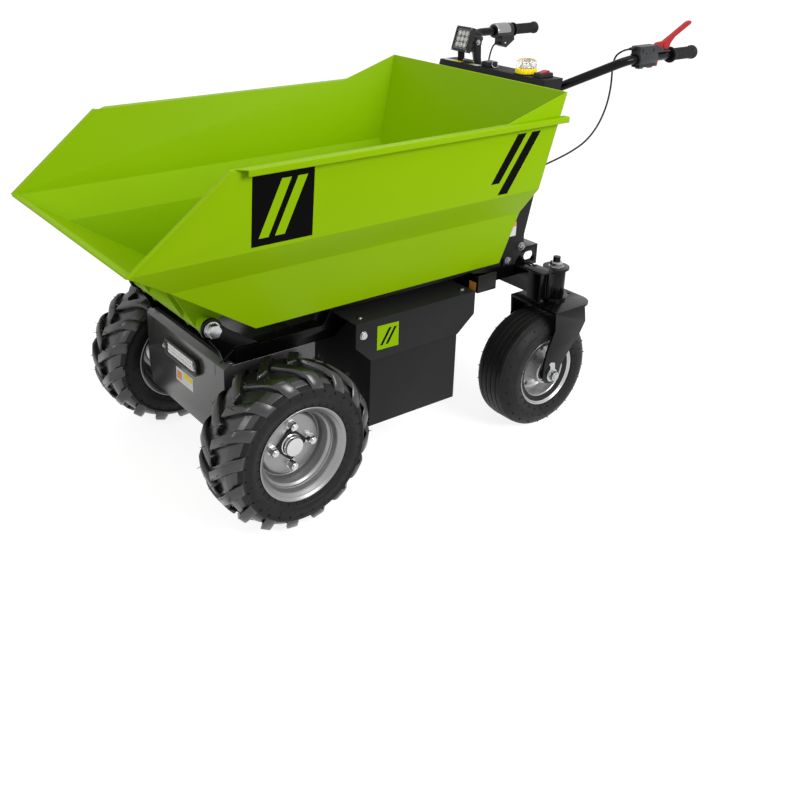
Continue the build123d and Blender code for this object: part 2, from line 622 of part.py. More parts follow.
# ---------------------------------------------------------------- castors
axle_ahead = castor_swivel + castor_trail
castor_seat_r = castor_rim_r - castor_seat
castor_seat_half = castor_rim_half_w - 2 * castor_flange
for name, side in sides:
    swivel_y = side * castor_y
    with BuildPart() as castor_fork:
        with BuildSketch(level_plane(fork_top_z - fork_thick)) as fork_plate:
            with BuildLine():
                Polyline(
                    (axle_ahead + fork_front, swivel_y - fork_half),
                    (axle_ahead + fork_front, swivel_y + fork_half),
                    (castor_swivel - fork_tail, swivel_y + fork_half),
                    (castor_swivel - fork_tail, swivel_y - fork_half), close=True,
                )
            make_face()
            fillet(fork_plate.vertices().group_by(Axis.X)[0], radius=fork_tail_r)
            with Locations((castor_swivel - fork_hole_back, swivel_y + fork_hole_r)):
                Circle(fork_hole_r, mode=Mode.SUBTRACT)
        extrude(amount=fork_thick)
        # each leg steps in below its bend, towards the wheel
        with BuildPart() as legs:
            for leg in (1, -1):
                top, low = fork_half, fork_half - fork_joggle
                leg_section = (
                    (top, fork_top_z), (top, fork_bend_z), (low, fork_knee_z), (low, 0),
                    (low - fork_thick, 0), (low - fork_thick, fork_knee_z),
                    (top - fork_thick, fork_bend_z), (top - fork_thick, fork_top_z),
                )
                with BuildSketch(cross_plane(-clear_of_all)):
                    with BuildLine():
                        Polyline(*[(swivel_y + leg * out, z) for out, z in leg_section], close=True)
                    make_face()
                extrude(amount=clear_of_all)
            with BuildSketch(side_plane(swivel_y + fork_half)):
                with BuildLine():
                    Polyline(*[(axle_ahead + ahead, z) for ahead, z in leg_outline], close=True)
                make_face()
                with Locations((axle_ahead, castor_r)):
                    Circle(castor_axle_r, mode=Mode.SUBTRACT)
            extrude(amount=2 * fork_half, mode=Mode.INTERSECT)
        add(legs.part)
        stem = (  # low z, radius, height
            (fork_top_z, race_r, head_low_z - fork_top_z - touch_gap),
            (fork_top_z, stud_r, head_top_z + stud_top - fork_top_z),
            (head_top_z + touch_gap, cap_r, cap_thick),
        )
        for low, radius, high in stem:
            with BuildSketch(level_plane(low)):
                with Locations((castor_swivel, swivel_y)):
                    Circle(radius)
            extrude(amount=high)
        with BuildSketch(level_plane(head_top_z + touch_gap + cap_thick)):
            with Locations((castor_swivel, swivel_y)):
                RegularPolygon(stud_nut_r, 6)
        extrude(amount=stud_nut)
    save(castor_fork, f"castor_fork_{name}")

    with BuildPart() as castor_axle:
        leg_out = fork_half - fork_joggle
        leg_in = leg_out - fork_thick
        with BuildSketch(side_plane(swivel_y + leg_out + axle_end)):
            with Locations((axle_ahead, castor_r)):
                Circle(castor_axle_r)
        extrude(amount=2 * (leg_out + axle_end))
        spacer = leg_in - castor_hub_half - touch_gap
        rounds = (  # left-hand face from the swivel's middle, radius, length
            (leg_in, axle_spacer_r, spacer), (-castor_hub_half - touch_gap, axle_spacer_r, spacer),
            (leg_out + axle_washer, axle_washer_r, axle_washer), (-leg_out, axle_washer_r, axle_washer),
        )
        for face, radius, long in rounds:
            with BuildSketch(side_plane(swivel_y + face)):
                with Locations((axle_ahead, castor_r)):
                    Circle(radius)
            extrude(amount=long)
        for face in (leg_out + axle_washer + axle_nut, -leg_out - axle_washer):
            with BuildSketch(side_plane(swivel_y + face)):
                with Locations((axle_ahead, castor_r)):
                    RegularPolygon(axle_nut_r, 6)
            extrude(amount=axle_nut)
    save(castor_axle, f"castor_axle_{name}")

    with BuildPart() as castor_tyre:
        half = castor_w / 2
        tread = castor_r - castor_shoulder
        with BuildSketch(wheel_plane(axle_ahead, swivel_y, castor_r, side)):
            with BuildLine():
                Polyline(
                    (-castor_seat_half, castor_seat_r), (-castor_rim_half_w, castor_rim_r),
                    (-half + castor_flange, castor_rim_r + castor_seat),
                    (-half, castor_rim_r + castor_side_r), (-half + castor_shoulder, tread - castor_seat),
                    (-half + castor_crown, tread), (-2 * groove_pitch, castor_r),
                    (2 * groove_pitch, castor_r), (half - castor_crown, tread),
                    (half - castor_shoulder, tread - castor_seat),
                    (half, castor_rim_r + castor_side_r),
                    (half - castor_flange, castor_rim_r + castor_seat),
                    (castor_rim_half_w, castor_rim_r), (castor_seat_half, castor_seat_r),
                    close=True,
                )
            make_face()
            with Locations(*[(place * groove_pitch, castor_r) for place in castor_grooves]):
                Rectangle(groove_wide, 2 * groove_deep, mode=Mode.SUBTRACT)
        revolve(axis=axle_line(axle_ahead, castor_r))
    save(castor_tyre, f"castor_tyre_{name}")

    with BuildPart() as castor_rim:
        with BuildSketch(wheel_plane(axle_ahead, swivel_y, castor_r, side)):
            width, barrel = castor_rim_half_w, castor_seat_r - castor_wall
            outline = (  # outward, radius, of the outer half
                (castor_hub_half, castor_axle_r + pivot_clearance),
                (castor_hub_half, castor_barrel_r - castor_barrel_edge),
                (castor_hub_half - castor_barrel_edge, castor_barrel_r),
                (castor_disc + castor_dish, castor_barrel_r),
                (castor_disc, castor_barrel_r + castor_dish),
                (castor_disc, barrel - castor_dish),
                (castor_disc + castor_dish, barrel),
                (width + castor_flange, barrel), (width + castor_flange, castor_rim_r),
                (width, castor_rim_r), (castor_seat_half, castor_seat_r),
            )
            with BuildLine():
                Polyline(*outline, *[(-out, radius) for out, radius in reversed(outline)],
                         close=True)
            make_face()
        revolve(axis=axle_line(axle_ahead, castor_r))
        slot_plane = Plane(
            origin=(front_axle_x + axle_ahead, swivel_y - castor_dish, castor_r),
            x_dir=(1, 0, 0), z_dir=(0, 1, 0),
        )
        with BuildSketch(slot_plane):
            with PolarLocations(castor_slot_r, castor_slots):
                SlotOverall(castor_slot_long, castor_slot_wide, rotation=90)
        extrude(amount=2 * castor_dish, mode=Mode.SUBTRACT)
    save(castor_rim, f"castor_rim_{name}")

# ---------------------------------------------------------------- driven wheels
tread_r = wheel_r - lug_high
bead = rim_half_w - bead_in
seat_r = rim_r - bead_seat
lug_step = 360 / lug_count


def tread_plane(y, turn):
    """Plane touching the tyre at turn degrees round from its top, drawn in (rolling, outward)."""
    angle = radians(turn)
    reach = wheel_r + touch_gap
    return Plane(
        origin=(front_axle_x + reach * sin(angle), y, wheel_r + reach * cos(angle)),
        x_dir=(cos(angle), 0, -sin(angle)),
        z_dir=(sin(angle), 0, cos(angle)),
    )


for name, side in sides:
    centre_y = side * wheel_y
    with BuildPart() as lugs:
        for row in (1, -1):
            turns = [lug_step * (i + (0 if row == 1 else 0.5)) for i in range(lug_count)]
            with BuildSketch(*[tread_plane(centre_y, turn) for turn in turns]):
                with BuildLine():
                    Polyline(*[(rolling, row * outward) for rolling, outward in lug_outline],
                             close=True)
                make_face()
            extrude(amount=-lug_root)
        with BuildSketch(wheel_plane(0, centre_y, wheel_r, side)):
            root, shoulder = wheel_r - 3 * lug_high, wheel_r - shoulder_drop
            with BuildLine():
                Polyline(
                    (-tyre_half, root), (-tyre_half, shoulder), (-tread_edge, wheel_r - rim_lip),
                    (-tread_flat, wheel_r), (tread_flat, wheel_r),
                    (tread_edge, wheel_r - rim_lip), (tyre_half, shoulder), (tyre_half, root),
                    close=True,
                )
            make_face()
        revolve(axis=axle_line(0, wheel_r), mode=Mode.INTERSECT)
    with BuildPart() as front_tyre:
        with BuildSketch(wheel_plane(0, centre_y, wheel_r, side)):
            side_r, shoulder_r = rim_r + 2 * bead_seat, tread_r - 2 * bead_seat
            outline = (  # outward, radius, of the outer half
                (tread_flat, tread_r), (tread_edge, tread_r - bead_in),
                (tyre_half - rim_lip, shoulder_r), (tyre_half, side_r),
                (rim_half_w, rim_r), (bead, seat_r),
            )
            with BuildLine():
                Polyline(*outline, *[(-out, radius) for out, radius in reversed(outline)],
                         close=True)
            make_face()
        revolve(axis=axle_line(0, wheel_r))
        add(lugs.part)
    save(front_tyre, f"front_tyre_{name}")

    with BuildPart() as front_rim:
        well_r = seat_r - rim_well
        disc_in = disc_offset - disc_thick
        with BuildSketch(wheel_plane(0, centre_y, wheel_r, side)):
            tyre_side = (  # outward, radius
                (well_half, well_r), (well_half + well_slope, seat_r), (bead, seat_r),
                (rim_half_w, rim_r), (rim_half_w + rim_lip, rim_r),
                (bead + rim_lip, seat_r - rim_wall), (well_half + well_slope, seat_r - rim_wall),
                (well_half, well_r - rim_wall),
            )
            with BuildLine():
                Polyline(
                    *tyre_side,
                    (disc_offset - disc_dish, well_r - rim_wall),
                    (disc_offset, disc_r), (disc_offset, disc_bore), (disc_in, disc_bore),
                    (disc_in, disc_r), (disc_in - disc_dish, well_r - rim_wall),
                    *[(-out, radius) for out, radius in reversed(tyre_side)], close=True,
                )
            make_face()
        revolve(axis=axle_line(0, wheel_r))
    save(front_rim, f"front_rim_{name}")

    with BuildPart() as front_hub:
        with BuildSketch(wheel_plane(0, centre_y, wheel_r, side)):
            flange_in = disc_in - hub_flange
            with BuildLine():
                Polyline(
                    (-motor_gap + touch_gap, 0), (-motor_gap + touch_gap, hub_r),
                    (flange_in, hub_r), (flange_in, hub_flange_r), (disc_in, hub_flange_r),
                    (disc_in, disc_bore), (disc_offset, disc_bore), (disc_offset, hub_cap_r),
                    (disc_offset + hub_cap - rim_lip, hub_cap_r),
                    (disc_offset + hub_cap, hub_cap_r - rim_lip), (disc_offset + hub_cap, 0),
                    close=True,
                )
            make_face()
        revolve(axis=axle_line(0, wheel_r))
        nut_plane = Plane(
            origin=(front_axle_x, centre_y + side * disc_offset, wheel_r),
            x_dir=(1, 0, 0), z_dir=(0, side, 0),
        )
        with BuildSketch(nut_plane):
            with PolarLocations(nut_circle_r, wheel_nuts):
                RegularPolygon(nut_r, 6)
        extrude(amount=nut_high)
    save(front_hub, f"front_hub_{name}")

# ---------------------------------------------------------------- column, bar and controls
with BuildPart() as control_column:
    with BuildSketch(side_plane(column_half)):
        with BuildLine():
            Polyline(
                (column_front(column_top_z), column_top_z),
                (column_front(rail_high_top), rail_high_top),
                (column_rear(rail_high_top), rail_high_top),
                (column_rear(column_top_z), column_top_z), close=True,
            )
        make_face()
    extrude(amount=2 * column_half)
    with BuildSketch(side_plane(column_half - column_wall)):
        high = column_top_z - column_wall
        with BuildLine():
            Polyline(
                (column_front(high) - column_wall, high),
                (column_front(rail_high_z) - column_wall, rail_high_z),
                (column_rear(rail_high_z) + column_wall, rail_high_z),
                (column_rear(high) + column_wall, high), close=True,
            )
        make_face()
    extrude(amount=2 * (column_half - column_wall), mode=Mode.SUBTRACT)
    # side flanges bolted down over the rails' faces
    for name, side in sides:
        with BuildSketch(side_plane(max(side * column_half, side * frame_half))):
            with BuildLine():
                Polyline(
                    (column_front(foot_top_z), foot_top_z), (foot_front, foot_low_z),
                    (foot_rear + foot_step, foot_low_z), (foot_rear, foot_low_z + foot_step),
                    (column_rear(foot_top_z), foot_top_z), close=True,
                )
            make_face()
        extrude(amount=column_flange)
    # gland of the throttle lead on the back
    with BuildSketch(cross_plane(lead_gland_ahead)):
        with Locations((lead_gland_y, lead_gland_z)):
            Circle(lead_gland_r)
    extrude(amount=column_rear(lead_gland_z + lead_gland_r) + column_wall - lead_gland_ahead)
save(control_column, "control_column")

# one bent tube: straight behind the column, out and up to the bends, back to the grips
bar_route = (
    (grip_end + grip_wall, bar_grip_y, bar_bend_z), (bar_bend_ahead, bar_grip_y, bar_bend_z),
    (bar_mid_ahead, bar_mid_half, bar_mid_z), (bar_mid_ahead, -bar_mid_half, bar_mid_z),
    (bar_bend_ahead, -bar_grip_y, bar_bend_z), (grip_end + grip_wall, -bar_grip_y, bar_bend_z),
)
bar_points = [(front_axle_x + ahead, y, z) for ahead, y, z in bar_route]
with BuildPart() as handlebar:
    with BuildLine():
        FilletPolyline(*bar_points, radius=bar_bend_r)
    with BuildSketch(Plane(origin=bar_points[0], x_dir=(0, 1, 0), z_dir=(1, 0, 0))):
        Circle(bar_r)
    sweep()
save(handlebar, "handlebar")

with BuildPart() as bar_saddles:
    for name, side in sides:
        with BuildSketch(side_plane(side * saddle_y + saddle_wide / 2)):
            low, high = bar_mid_z - saddle_half, bar_mid_z + saddle_half
            with BuildLine():
                Polyline(
                    (column_rear(low), low), (column_rear(high), high),
                    (bar_mid_ahead - saddle_half, high), (bar_mid_ahead - saddle_half, low),
                    close=True,
                )
            make_face()
            with Locations((bar_mid_ahead, bar_mid_z)):
                Circle(bar_r, mode=Mode.SUBTRACT)
        extrude(amount=saddle_wide)
save(bar_saddles, "bar_saddles")

for name, side in sides:
    with BuildPart() as grip:
        grip_parts = (  # rear end, radius, length
            (grip_end, grip_r, grip_start - grip_end),
            (grip_start - grip_flange, grip_flange_r, grip_flange),
            (grip_end, grip_knob_r, 2 * grip_flange),
        )
        for rear, radius, long in grip_parts:
            with BuildSketch(cross_plane(rear)):
                with Locations((side * bar_grip_y, bar_bend_z)):
                    Circle(radius)
            extrude(amount=long)
        with BuildSketch(cross_plane(grip_end + grip_wall)):
            with Locations((side * bar_grip_y, bar_bend_z)):
                Circle(bar_r)
        extrude(amount=grip_start - grip_end, mode=Mode.SUBTRACT)
    save(grip, f"grip_{name}")

# skip latch on the column's front face: a slotted case that takes the skip's striker pin
with BuildPart() as skip_latch:
    with BuildSketch(side_plane(latch_half)):
        with BuildLine():
            Polyline(
                (column_front(latch_low_z), latch_low_z), (column_front(latch_top_z), latch_top_z),
                (latch_front, latch_top_z), (latch_front, latch_low_z), close=True,
            )
        make_face()
        with BuildLine():
            mouth = slot_half + slot_flare
            Polyline(
                (striker_ahead - slot_half, striker_z), (striker_ahead - mouth, latch_top_z + sheet),
                (striker_ahead + mouth, latch_top_z + sheet), (striker_ahead + slot_half, striker_z),
                close=True,
            )
        make_face(mode=Mode.SUBTRACT)
        with Locations((striker_ahead, striker_z)):
            Circle(slot_half, mode=Mode.SUBTRACT)
    extrude(amount=2 * latch_half)
save(skip_latch, "skip_latch")

with BuildPart() as skip_striker:
    root_low, root_top = (striker_z + rise for rise in striker_root)
    for name, side in sides:
        near, far = side * striker_lug_y, side * (striker_lug_y + striker_lug)
        with BuildSketch(side_plane(max(near, far))):
            with BuildLine():
                Polyline(
                    (back_ahead(root_low), root_low), (back_ahead(root_top), root_top),
                    (striker_ahead - striker_lug_half, striker_z + striker_lug_half),
                    (striker_ahead - striker_lug_half, striker_z - striker_lug_half),
                    close=True,
                )
            make_face()
        extrude(amount=striker_lug)
    with BuildSketch(side_plane(striker_lug_y)):
        with Locations((striker_ahead, striker_z)):
            Circle(striker_r)
    extrude(amount=2 * striker_lug_y)
save(skip_striker, "skip_striker")

# clamp body and red lever at the left grip
with BuildPart() as lever_clamp:
    clamp_long = clamp_front - clamp_rear
    with BuildSketch(cross_plane(clamp_rear)):
        with Locations((bar_grip_y, bar_bend_z)):
            Circle(clamp_r)
        with Locations((bar_grip_y, bar_bend_z + clamp_top / 2)):
            Rectangle(clamp_wide, clamp_top)
        with Locations((bar_grip_y, bar_bend_z)):
            Circle(bar_r, mode=Mode.SUBTRACT)
    extrude(amount=clamp_long)
    for lug in clamp_lugs:
        with BuildSketch(cross_plane(lug)):
            with Locations((bar_grip_y, bar_bend_z - (bar_r + clamp_lug_low) / 2)):
                Rectangle(2 * clamp_lug_half, clamp_lug_low - bar_r)
        extrude(amount=clamp_lug)
    with BuildSketch(side_plane(bar_grip_y + clamp_wide / 2)):
        with BuildLine():
            Polyline(*clamp_arm, close=True)
        make_face()
    extrude(amount=clamp_wide)
save(lever_clamp, "lever_clamp")

with BuildPart() as release_lever:
    with BuildSketch(side_plane(bar_grip_y + lever_half)):
        with BuildLine():
            Polyline(*lever_outline, close=True)
        make_face()
    extrude(amount=2 * lever_half)
    with BuildSketch(side_plane(lever_tail_y + lever_tail_thick)):
        with BuildLine():
            Polyline(*lever_tail, close=True)
        make_face()
    extrude(amount=lever_tail_thick)
    # the lever's root reaches out to its tail
    root_front, root_low = lever_tail[0]
    with BuildSketch(side_plane(lever_tail_y)):
        with Locations((root_front - lever_half, root_low - lever_half / 2)):
            Circle(lever_half - touch_gap)
    extrude(amount=lever_tail_y - bar_grip_y)
save(release_lever, "release_lever")

with BuildPart() as throttle:
    with BuildSketch(cross_plane(throttle_rear)):
        with Locations((-bar_grip_y, bar_bend_z)):
            Circle(throttle_r)
    extrude(amount=throttle_nose - throttle_rear)
    with BuildSketch(side_plane(-bar_grip_y + throttle_box_half)):
        with BuildLine():
            Polyline(*throttle_box, close=True)
        make_face()
    extrude(amount=2 * throttle_box_half)
    with BuildSketch(cross_plane(throttle_rear - throttle_r)):
        with Locations((-bar_grip_y, bar_bend_z)):
            Circle(bar_r)
    extrude(amount=throttle_nose - throttle_rear + 2 * throttle_r, mode=Mode.SUBTRACT)
save(throttle, "throttle")

# lamp on the column: finned cube housing on a bracket, pitched back
lamp_axes = Plane(
    origin=(front_axle_x + lamp_ahead, lamp_y, lamp_z),
    x_dir=(0, 1, 0), z_dir=(cos(radians(lamp_pitch)), 0, sin(radians(lamp_pitch))),
)
with BuildPart() as work_lamp:
    with BuildSketch(lamp_axes.offset(-lamp_deep)):
        Rectangle(lamp_wide - 2 * lamp_tail_in, lamp_tall - 2 * lamp_tail_in)
    with BuildSketch(lamp_axes.offset(-lamp_bezel)):
        Rectangle(lamp_wide - 2 * lamp_core_in, lamp_tall - 2 * lamp_core_in)
    loft()
    with BuildSketch(lamp_axes.offset(-lamp_bezel)):
        Rectangle(lamp_wide, lamp_tall)
    extrude(amount=lamp_bezel)
    with BuildSketch(lamp_axes.offset(-lamp_deep + lamp_fin_short)):
        with GridLocations(0, lamp_fin_pitch, 1, lamp_fins):
            Rectangle(lamp_wide, lamp_fin)
    extrude(amount=lamp_deep - lamp_fin_short)
    with BuildSketch(lamp_axes):
        Rectangle(lamp_wide - 2 * lamp_frame_wide, lamp_tall - 2 * lamp_frame_wide)
    extrude(amount=-lamp_lens_in, mode=Mode.SUBTRACT)
save(work_lamp, "work_lamp")

with BuildPart() as work_lamp_lens:
    with BuildSketch(lamp_axes.offset(-lamp_lens_in)):
        Rectangle(lamp_wide - 2 * lamp_frame_wide, lamp_tall - 2 * lamp_frame_wide)
    extrude(amount=lens_thick)
save(work_lamp_lens, "work_lamp_lens")

with BuildPart() as lamp_bracket:
    cheek = lamp_wide / 2
    for name, side in sides:
        face = max(lamp_y + side * cheek, lamp_y + side * (cheek + lamp_cheek))
        with BuildSketch(side_plane(face)):
            with BuildLine():
                Polyline(*[(lamp_ahead - behind, lamp_z - below) for behind, below in cheek_outline],
                         close=True)
            make_face()
        extrude(amount=lamp_cheek)
    with BuildSketch(level_plane(column_top_z)):
        with Locations((lamp_ahead - lamp_stand, lamp_y)):
            Rectangle(lamp_stand_long, 2 * (cheek + lamp_cheek))
    extrude(amount=lamp_foot)
save(lamp_bracket, "lamp_bracket")

top_front = column_front(column_top_z)
dome_z = column_top_z + beacon_base_high
with BuildPart() as beacon_base:
    with BuildSketch(level_plane(column_top_z)):
        with Locations((top_front - beacon_back, beacon_y)):
            Circle(beacon_r)
            with PolarLocations(beacon_r, beacon_flutes):
                Circle(beacon_groove, mode=Mode.SUBTRACT)
    extrude(amount=beacon_base_high)
save(beacon_base, "beacon_base")

with BuildPart() as beacon_dome:
    dome_steps = (  # low z, radius, height
        (dome_z, beacon_r - beacon_groove, beacon_dome_high - 2 * beacon_groove),
        (dome_z + beacon_dome_high - 2 * beacon_groove, beacon_r - 3 * beacon_groove,
         2 * beacon_groove),
    )
    for low, radius, high in dome_steps:
        with BuildSketch(level_plane(low)):
            with Locations((top_front - beacon_back, beacon_y)):
                Circle(radius)
                with PolarLocations(radius, beacon_flutes):
                    Circle(beacon_groove, mode=Mode.SUBTRACT)
        extrude(amount=high)
save(beacon_dome, "beacon_dome")

with BuildPart() as key_switch:
    switch_steps = (  # low z, length, width, height
        (column_top_z, switch_long, switch_wide, switch_high),
        (column_top_z + switch_high, rocker_long, rocker_wide, rocker_high),
    )
    for low, long, wide, high in switch_steps:
        with BuildSketch(level_plane(low)):
            with Locations((top_front - switch_back, switch_y)):
                Rectangle(long, wide)
        extrude(amount=high)
save(key_switch, "key_switch")

with BuildPart() as lead_socket:
    with BuildSketch(level_plane(column_top_z)):
        with Locations((top_front - socket_back, socket_y)):
            Rectangle(socket_long, socket_wide)
    extrude(amount=socket_high)
save(lead_socket, "lead_socket")

# lamp bar on the nose plate
with BuildPart() as nose_lamp:
    lamp_face = frame_front + nose_lamp_deep
    with BuildSketch(cross_plane(frame_front)) as nose_lamp_plate:
        with Locations((0, nose_lamp_z)):
            Rectangle(2 * nose_lamp_half, nose_lamp_high)
        chamfer(nose_lamp_plate.vertices(), length=nose_lamp_chamfer)
    extrude(amount=nose_lamp_deep)
    with BuildSketch(cross_plane(lamp_face)):
        with Locations((0, nose_lamp_z)):
            Rectangle(2 * nose_lens_half, nose_lens_high)
    extrude(amount=-nose_lens_in, mode=Mode.SUBTRACT)
save(nose_lamp, "nose_lamp")

with BuildPart() as nose_lamp_lens:
    with BuildSketch(cross_plane(lamp_face - nose_lens_in)):
        with Locations((0, nose_lamp_z)):
            Rectangle(2 * nose_lens_half, nose_lens_high)
    extrude(amount=lens_thick)
save(nose_lamp_lens, "nose_lamp_lens")


def bend_radii(points):
    """Arc at each corner of a cable: 0.45 of its shorter run over the tangent of half the turn."""
    radii = []
    for before, corner, after in zip(points, points[1:], points[2:]):
        run_in, run_out = Vector(corner) - Vector(before), Vector(after) - Vector(corner)
        half_turn = radians(run_in.get_angle(run_out)) / 2
        radii.append(0.45 * min(run_in.length, run_out.length) / tan(half_turn))
    return radii


# cables held at both ends
cables = (("release_cable", release_route), ("throttle_lead", lead_route))
for name, route in cables:
    points = [(front_axle_x + ahead, y, z) for ahead, y, z in route]
    radii = bend_radii(points)
    with BuildPart() as cable:
        with BuildLine():
            run = FilletPolyline(*points, radius=radii)
        with BuildSketch(Plane(origin=points[0], z_dir=Vector(points[1]) - Vector(points[0]))):
            Circle(cable_r)
        sweep()
    section = pi * cable_r ** 2
    print(name, "radii", [round(radius) for radius in radii], "length", round(run.length),
          "volume over section", round(cable.part.volume / section))
    save(cable, name)
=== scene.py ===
"""Looks of the battery site dumper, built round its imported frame.

Lengths named here are millimetres in the frame of the source: "ahead" is measured along
X from the front axle, y to the machine's left, z up from the floor. Meshes are written in
metres.
"""
from __future__ import annotations

import json
import logging
import math
from collections.abc import Iterator, Sequence
from contextlib import contextmanager
from dataclasses import dataclass
from enum import Enum

import bmesh
import bpy
from mathutils import Matrix, Vector
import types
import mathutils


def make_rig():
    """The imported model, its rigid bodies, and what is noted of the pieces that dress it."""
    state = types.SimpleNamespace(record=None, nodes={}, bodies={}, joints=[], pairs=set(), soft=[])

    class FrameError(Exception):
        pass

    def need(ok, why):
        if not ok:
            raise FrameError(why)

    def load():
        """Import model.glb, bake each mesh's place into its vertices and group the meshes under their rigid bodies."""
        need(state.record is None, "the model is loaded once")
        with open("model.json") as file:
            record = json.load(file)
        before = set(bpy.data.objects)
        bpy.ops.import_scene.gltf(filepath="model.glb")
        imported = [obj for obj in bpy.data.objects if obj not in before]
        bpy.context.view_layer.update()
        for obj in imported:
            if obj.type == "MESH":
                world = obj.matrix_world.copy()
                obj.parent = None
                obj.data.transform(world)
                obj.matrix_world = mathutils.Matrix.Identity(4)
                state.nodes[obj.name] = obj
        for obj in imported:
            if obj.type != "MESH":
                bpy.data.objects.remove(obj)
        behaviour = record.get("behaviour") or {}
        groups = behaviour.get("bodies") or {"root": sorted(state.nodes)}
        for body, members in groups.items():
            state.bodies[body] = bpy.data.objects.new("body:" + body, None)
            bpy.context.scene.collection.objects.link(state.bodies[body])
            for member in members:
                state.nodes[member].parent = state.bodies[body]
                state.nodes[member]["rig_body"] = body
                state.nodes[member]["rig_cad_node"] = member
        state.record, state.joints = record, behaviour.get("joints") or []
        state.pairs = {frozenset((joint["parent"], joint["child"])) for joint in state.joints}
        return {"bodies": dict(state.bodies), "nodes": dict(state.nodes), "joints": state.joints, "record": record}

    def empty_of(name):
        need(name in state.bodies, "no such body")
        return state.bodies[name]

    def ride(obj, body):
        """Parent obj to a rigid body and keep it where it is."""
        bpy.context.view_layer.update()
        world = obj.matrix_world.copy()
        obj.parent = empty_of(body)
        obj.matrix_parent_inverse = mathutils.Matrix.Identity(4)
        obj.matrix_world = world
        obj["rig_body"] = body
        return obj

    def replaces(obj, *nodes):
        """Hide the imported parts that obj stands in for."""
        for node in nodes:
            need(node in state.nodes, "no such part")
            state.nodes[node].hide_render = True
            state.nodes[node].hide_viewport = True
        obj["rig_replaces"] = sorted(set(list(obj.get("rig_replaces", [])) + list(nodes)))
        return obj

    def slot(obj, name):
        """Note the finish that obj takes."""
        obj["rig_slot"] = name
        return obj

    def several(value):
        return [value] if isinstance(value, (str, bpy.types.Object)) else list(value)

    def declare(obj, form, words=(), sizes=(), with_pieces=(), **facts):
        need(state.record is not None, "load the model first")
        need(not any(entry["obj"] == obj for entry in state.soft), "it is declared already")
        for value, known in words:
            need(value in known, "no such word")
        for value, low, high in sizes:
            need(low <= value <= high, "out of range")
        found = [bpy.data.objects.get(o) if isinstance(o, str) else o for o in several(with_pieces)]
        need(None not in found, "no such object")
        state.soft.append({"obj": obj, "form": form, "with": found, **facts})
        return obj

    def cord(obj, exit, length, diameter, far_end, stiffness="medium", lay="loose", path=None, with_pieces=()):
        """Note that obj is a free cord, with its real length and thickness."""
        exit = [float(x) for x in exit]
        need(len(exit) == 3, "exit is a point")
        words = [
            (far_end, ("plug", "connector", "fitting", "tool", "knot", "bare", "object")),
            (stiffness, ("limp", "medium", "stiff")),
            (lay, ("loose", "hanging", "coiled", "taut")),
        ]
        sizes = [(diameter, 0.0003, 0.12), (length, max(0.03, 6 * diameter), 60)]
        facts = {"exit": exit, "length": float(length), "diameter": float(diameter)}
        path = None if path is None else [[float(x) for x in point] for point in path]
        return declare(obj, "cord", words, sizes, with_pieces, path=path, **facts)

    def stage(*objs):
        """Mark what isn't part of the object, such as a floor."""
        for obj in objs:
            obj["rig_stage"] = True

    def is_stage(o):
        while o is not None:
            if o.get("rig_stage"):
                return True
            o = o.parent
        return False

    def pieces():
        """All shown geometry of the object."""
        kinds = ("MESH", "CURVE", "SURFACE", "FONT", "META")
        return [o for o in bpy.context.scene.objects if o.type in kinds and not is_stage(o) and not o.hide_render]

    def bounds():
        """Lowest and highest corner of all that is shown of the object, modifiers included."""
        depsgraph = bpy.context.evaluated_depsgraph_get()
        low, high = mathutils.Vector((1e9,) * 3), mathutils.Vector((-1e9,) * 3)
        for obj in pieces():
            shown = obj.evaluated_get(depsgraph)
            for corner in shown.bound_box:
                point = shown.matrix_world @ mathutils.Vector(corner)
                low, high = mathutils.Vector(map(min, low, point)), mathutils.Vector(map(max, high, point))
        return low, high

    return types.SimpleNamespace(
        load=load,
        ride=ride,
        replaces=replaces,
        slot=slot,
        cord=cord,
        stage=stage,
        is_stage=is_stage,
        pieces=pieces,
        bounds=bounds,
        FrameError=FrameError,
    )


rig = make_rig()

FRONT_AXLE_X = 487.0
SIDES = (("left", 1), ("right", -1))
ENDS = ((1, "outer"), (-1, "inner"))  # of a wheel's axis
X, Y, Z = Vector((1, 0, 0)), Vector((0, 1, 0)), Vector((0, 0, 1))
ORIGIN = Vector((0, 0, 0))
ON, OVER = 0.15, 0.45  # how far a label stands off its face, and one that lies on a label
SHEET, FILM = 0.25, 0.15  # how thick labels are
Pair = tuple[float, float]
Pairs = Sequence[Pair]
Place = tuple[float, float, float]
# node, then the width, faces, least angle and finish where they aren't the usual ones
Edges = tuple[tuple, ...]
# name, finish, outline and lift of each label on a face
Labels = tuple[tuple[str, str, Pairs, float], ...]
# place on the tyre, count, phase, inner radius, outer radius, foot and top of each rib
RibRow = tuple[str, int, float, float, float, float, float]
log = logging.getLogger("dumper")


def at(ahead: float, y: float, z: float) -> Vector:
    """Point of the row frame in metres for a place given in millimetres."""
    return Vector((FRONT_AXLE_X + ahead, y, z)) / 1000.0


def rect(left: float, low: float, right: float, high: float) -> Pairs:
    """The corners of a rectangle."""
    return (left, low), (right, low), (right, high), (left, high)


def both_sides(places: Sequence[Place], way: Vector | None = None,
               middle: float = 0.0) -> list[tuple[Place, Vector]]:
    """Places and their mirror images.

    Args:
        places: the places on the left, with y measured from the middle.
        way: the way that all of them face, if they don't face outwards.
        middle: y of the plane between the two sides.

    Returns:
        Each place with the way that it faces.
    """
    return [((x, middle + side * y, z), way or side * Y)
            for x, y, z in places for _, side in SIDES]


def mirrored(lines: Sequence[Sequence[Place]]) -> list[list[Place]]:
    """Lines of the left side, and their mirror images on the right."""
    return [[(x, side * y, z) for x, y, z in line] for _, side in SIDES for line in lines]


